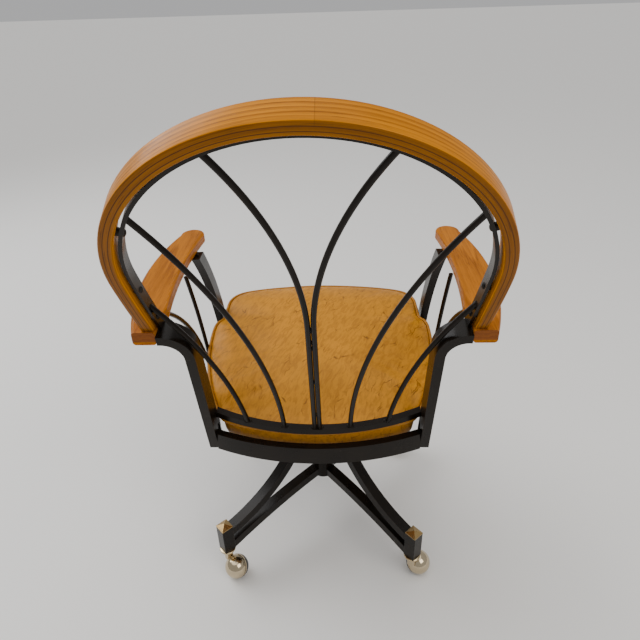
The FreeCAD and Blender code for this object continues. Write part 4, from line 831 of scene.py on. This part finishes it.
def repeated(name, spots, part, finish, size_name, size, spread):
    """One plain mesh of the small parts on all the spots."""
    piece = spot_mesh(name, spots)
    live = piece.modifiers.new("repeat", "NODES")
    live.node_group = repeat_tree(name + "_layout", part, finish, size_name, size * MM, spread * MM)
    bpy.context.view_layer.update()
    baked(piece)
    all_smooth(piece)
    bpy.data.objects.remove(part)
    return piece


def part_from(name, bm):
    """The object that a tree repeats, removed once it has."""
    mesh = bpy.data.meshes.new(name)
    bm.to_mesh(mesh)
    bm.free()
    return link(bpy.data.objects.new(name, mesh))


def screw_head_part():
    """Pan head of unit radius with a cross recess."""
    profile = [(0.3, 0.505), (0.58, 0.45), (0.82, 0.32), (0.96, 0.14), (1.0, 0.0), (0.4, -0.02)]
    top_height, slot_half, slot_reach, slot_deep, sides = 0.52, 0.1, 0.62, 0.3, 24
    turns = [2 * math.pi * k / sides for k in range(sides)]
    bm = bmesh.new()
    rings = [[bm.verts.new((radius * math.cos(turn), radius * math.sin(turn), height)) for turn in turns]
             for radius, height in profile]
    top = bm.verts.new((0, 0, top_height))
    for k in range(sides):
        bm.faces.new((rings[0][k], rings[0][(k + 1) % sides], top))
    for upper, lower in zip(rings, rings[1:]):
        for k in range(sides):
            bm.faces.new((upper[k], lower[k], lower[(k + 1) % sides], upper[(k + 1) % sides]))
    bm.faces.new(list(reversed(rings[-1])))
    for vert in bm.verts:
        near_by, far_off = sorted((abs(vert.co.x), abs(vert.co.y)))
        if near_by < slot_half and far_off < slot_reach and vert.co.z > 0:
            vert.co.z -= slot_deep
    bmesh.ops.recalc_face_normals(bm, faces=bm.faces)
    return part_from("screw_head_shape", bm)


def bead_part():
    """One lumpy drop of weld metal, of unit radius."""
    bm = bmesh.new()
    bmesh.ops.create_icosphere(bm, subdivisions=2, radius=1.0)
    for vert in bm.verts:
        x, y, z = vert.co
        lump = 1.0 + 0.12 * math.sin(5.1 * x + 1.3) * math.cos(4.3 * y) + 0.08 * math.sin(7.0 * z)
        vert.co = vert.co * lump
        vert.co.z *= 0.7
    return part_from("bead_shape", bm)


def mirror_x(v, side):
    """A point or direction, or its mirror image on the chair's other side."""
    return (v[0] * side, v[1], v[2])


def strap_spots():
    """Place and direction of every screw head on the strap's inner face."""
    forward = STRAP_SETBACK + STRAP_WIDE / 2
    face_r = STRAP_INNER - SCREW_SINK
    curves = [(0.0, face_r, math.radians(angle)) for angle in STRAP_SCREW_ANGLES]
    curves += [(HOOP_R - SIDE_R, face_r - HOOP_R + SIDE_R, -math.asin(drop / SIDE_R)) for drop in STRAP_SCREW_DROPS]
    spots = []
    for side in (1, -1):
        for centre_x, r, a in curves:
            x, up = centre_x + r * math.cos(a), r * math.sin(a)
            here = Vector(hoop_to_world(x, up, forward))
            ahead = Vector(hoop_to_world(x - math.cos(a), up - math.sin(a), forward))
            spots.append((mirror_x(here, side), mirror_x((ahead - here).normalized(), side)))
    return spots


def weld_spots():
    """Drops round every rod's foot, left open towards a twin rod, and a few in the valley between the centre rods."""
    spots = []
    for side in (1, -1):
        for number, (x, y) in enumerate(ROD_FEET):
            turned = 0.5 if number else 0.0
            for k in range(FOOT_BEADS):
                a = 2 * math.pi * (k + turned) / FOOT_BEADS
                out, back = math.cos(a), math.sin(a)
                if number == 0 and out < TWIN_ROD_SIDE:
                    continue
                place = (side * (x + FOOT_BEAD_RING * out), y + FOOT_BEAD_RING * back, RAIL_TOP + FOOT_BEAD_LIFT)
                spots.append((place, (BEAD_LEAN * out * side, BEAD_LEAN * back, BEAD_RISE)))
    for z, count in JOINT_BEADS:
        for k in range(count):
            height = z + JOINT_BEAD_STEP * k
            y = ROD_FEET[0][1] + (height - RAIL_TOP) * CENTRE_SLOPE
            for side in (1, -1):
                way = tuple(part * side for part in JOINT_BEAD_WAY)
                spots.append(((0.0, y + JOINT_BEAD_OUT * side, height), way))
    return spots


def build_screws():
    """Heads of the screws that hold the strap to the hoop."""
    heads = repeated("strap_screw_heads", strap_spots(), screw_head_part(), SCREW_PAINT, "Head Radius", SCREW_HEAD_R,
                     0.0)
    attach(heads, "chair")


def build_welds():
    """Weld beads at the rods' feet and along the centre rods."""
    beads = repeated("weld_beads", weld_spots(), bead_part(), FRAME_PAINT, "Drop Radius", BEAD_R, BEAD_SPREAD)
    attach(beads, "chair")


# Floor, light and camera

FLOOR_HALF, FLOOR_COLOUR, FLOOR_ROUGH = 150000.0, (0.80, 0.79, 0.77), 0.6
SKY_COLOUR, SKY_STRENGTH = (0.93, 0.93, 0.94), 0.5

# The camera's place in metres, its direction, its roll, its focal length in pixels and how far the picture is shifted
CAMERA_PLACE, CAMERA_LOOK, CAMERA_ROLL = (-0.0361, 0.9337, 1.0587), (0.03739, -0.86446, -0.50131), -1.76
PICTURE_WIDE, FOCAL_LENGTH, SHIFT_X, SENSOR_WIDE = 640.0, 539.5, 3.0, 36.0


def build_stage():
    """Pale floor, and even light from all round."""
    finish, tree, shader = material("Studio floor")
    fill(tree, shader, {"Base Color": FLOOR_COLOUR, "Roughness": FLOOR_ROUGH})
    corners = [(x, y, 0) for x in (-FLOOR_HALF, FLOOR_HALF) for y in (-FLOOR_HALF, FLOOR_HALF)]
    floor = mesh_piece("studio_floor", corners, [(0, 2, 3, 1)], finish, smooth=False)
    world = bpy.data.worlds.new("Studio")
    world.use_nodes = True
    fill(world.node_tree, world.node_tree.nodes["Background"], {"Color": SKY_COLOUR, "Strength": SKY_STRENGTH})
    scene.world = world


def lamp(name, kind, place, target, power, colour):
    """A light that shines from its place to its target, both in metres."""
    data = bpy.data.lights.new(name, kind)
    data.energy = power
    data.color = colour
    lit = link(bpy.data.objects.new(name, data))
    lit.location = place
    lit.rotation_euler = (Vector(target) - Vector(place)).to_track_quat("-Z", "Y").to_euler()
    return data


def build_lights():
    """A wide soft sun, a cool window beyond the chair and a warmer room light from the camera's side."""
    sky = lamp("sky", "SUN", (0.6, -0.4, 3.0), (0, 0, 0), power=1.3, colour=(1.0, 0.985, 0.96))
    sky.angle = math.radians(70.0)
    for name, place, target, size, power, colour in (
            ("window", (2.2, -1.2, 2.4), (0, 0, 0.5), (2.2, 1.8), 46, (0.97, 0.98, 1.0)),
            ("room", (-1.6, 1.8, 2.6), (0, 0.1, 0.6), (1.8, 1.8), 34, (1.0, 0.96, 0.9))):
        panel = lamp(name, "AREA", place, target, power, colour)
        panel.shape = "RECTANGLE"
        panel.size, panel.size_y = size


def build_camera():
    """Stands where the photograph was taken from."""
    data = bpy.data.cameras.new("photo_view")
    data.sensor_fit = "AUTO"
    data.sensor_width = SENSOR_WIDE
    data.lens = FOCAL_LENGTH / PICTURE_WIDE * SENSOR_WIDE
    data.shift_x = SHIFT_X / PICTURE_WIDE
    camera = link(bpy.data.objects.new("photo_view", data))
    look = Vector(CAMERA_LOOK).normalized()
    level = look.cross(Vector((0, 0, 1))).normalized()
    upright = level.cross(look)
    roll = math.radians(CAMERA_ROLL)
    right = level * math.cos(roll) + upright * math.sin(roll)
    up = upright * math.cos(roll) - level * math.sin(roll)
    turn = Matrix((right, up, -look)).transposed()
    camera.matrix_world = Matrix.Translation(Vector(CAMERA_PLACE)) @ turn.to_4x4()
    scene.camera = camera


dress_nodes()
build_hoop()
build_cushion()
build_welt()
build_spring()
build_collars()
build_screws()
build_welds()
build_stage()
build_lights()
build_camera()
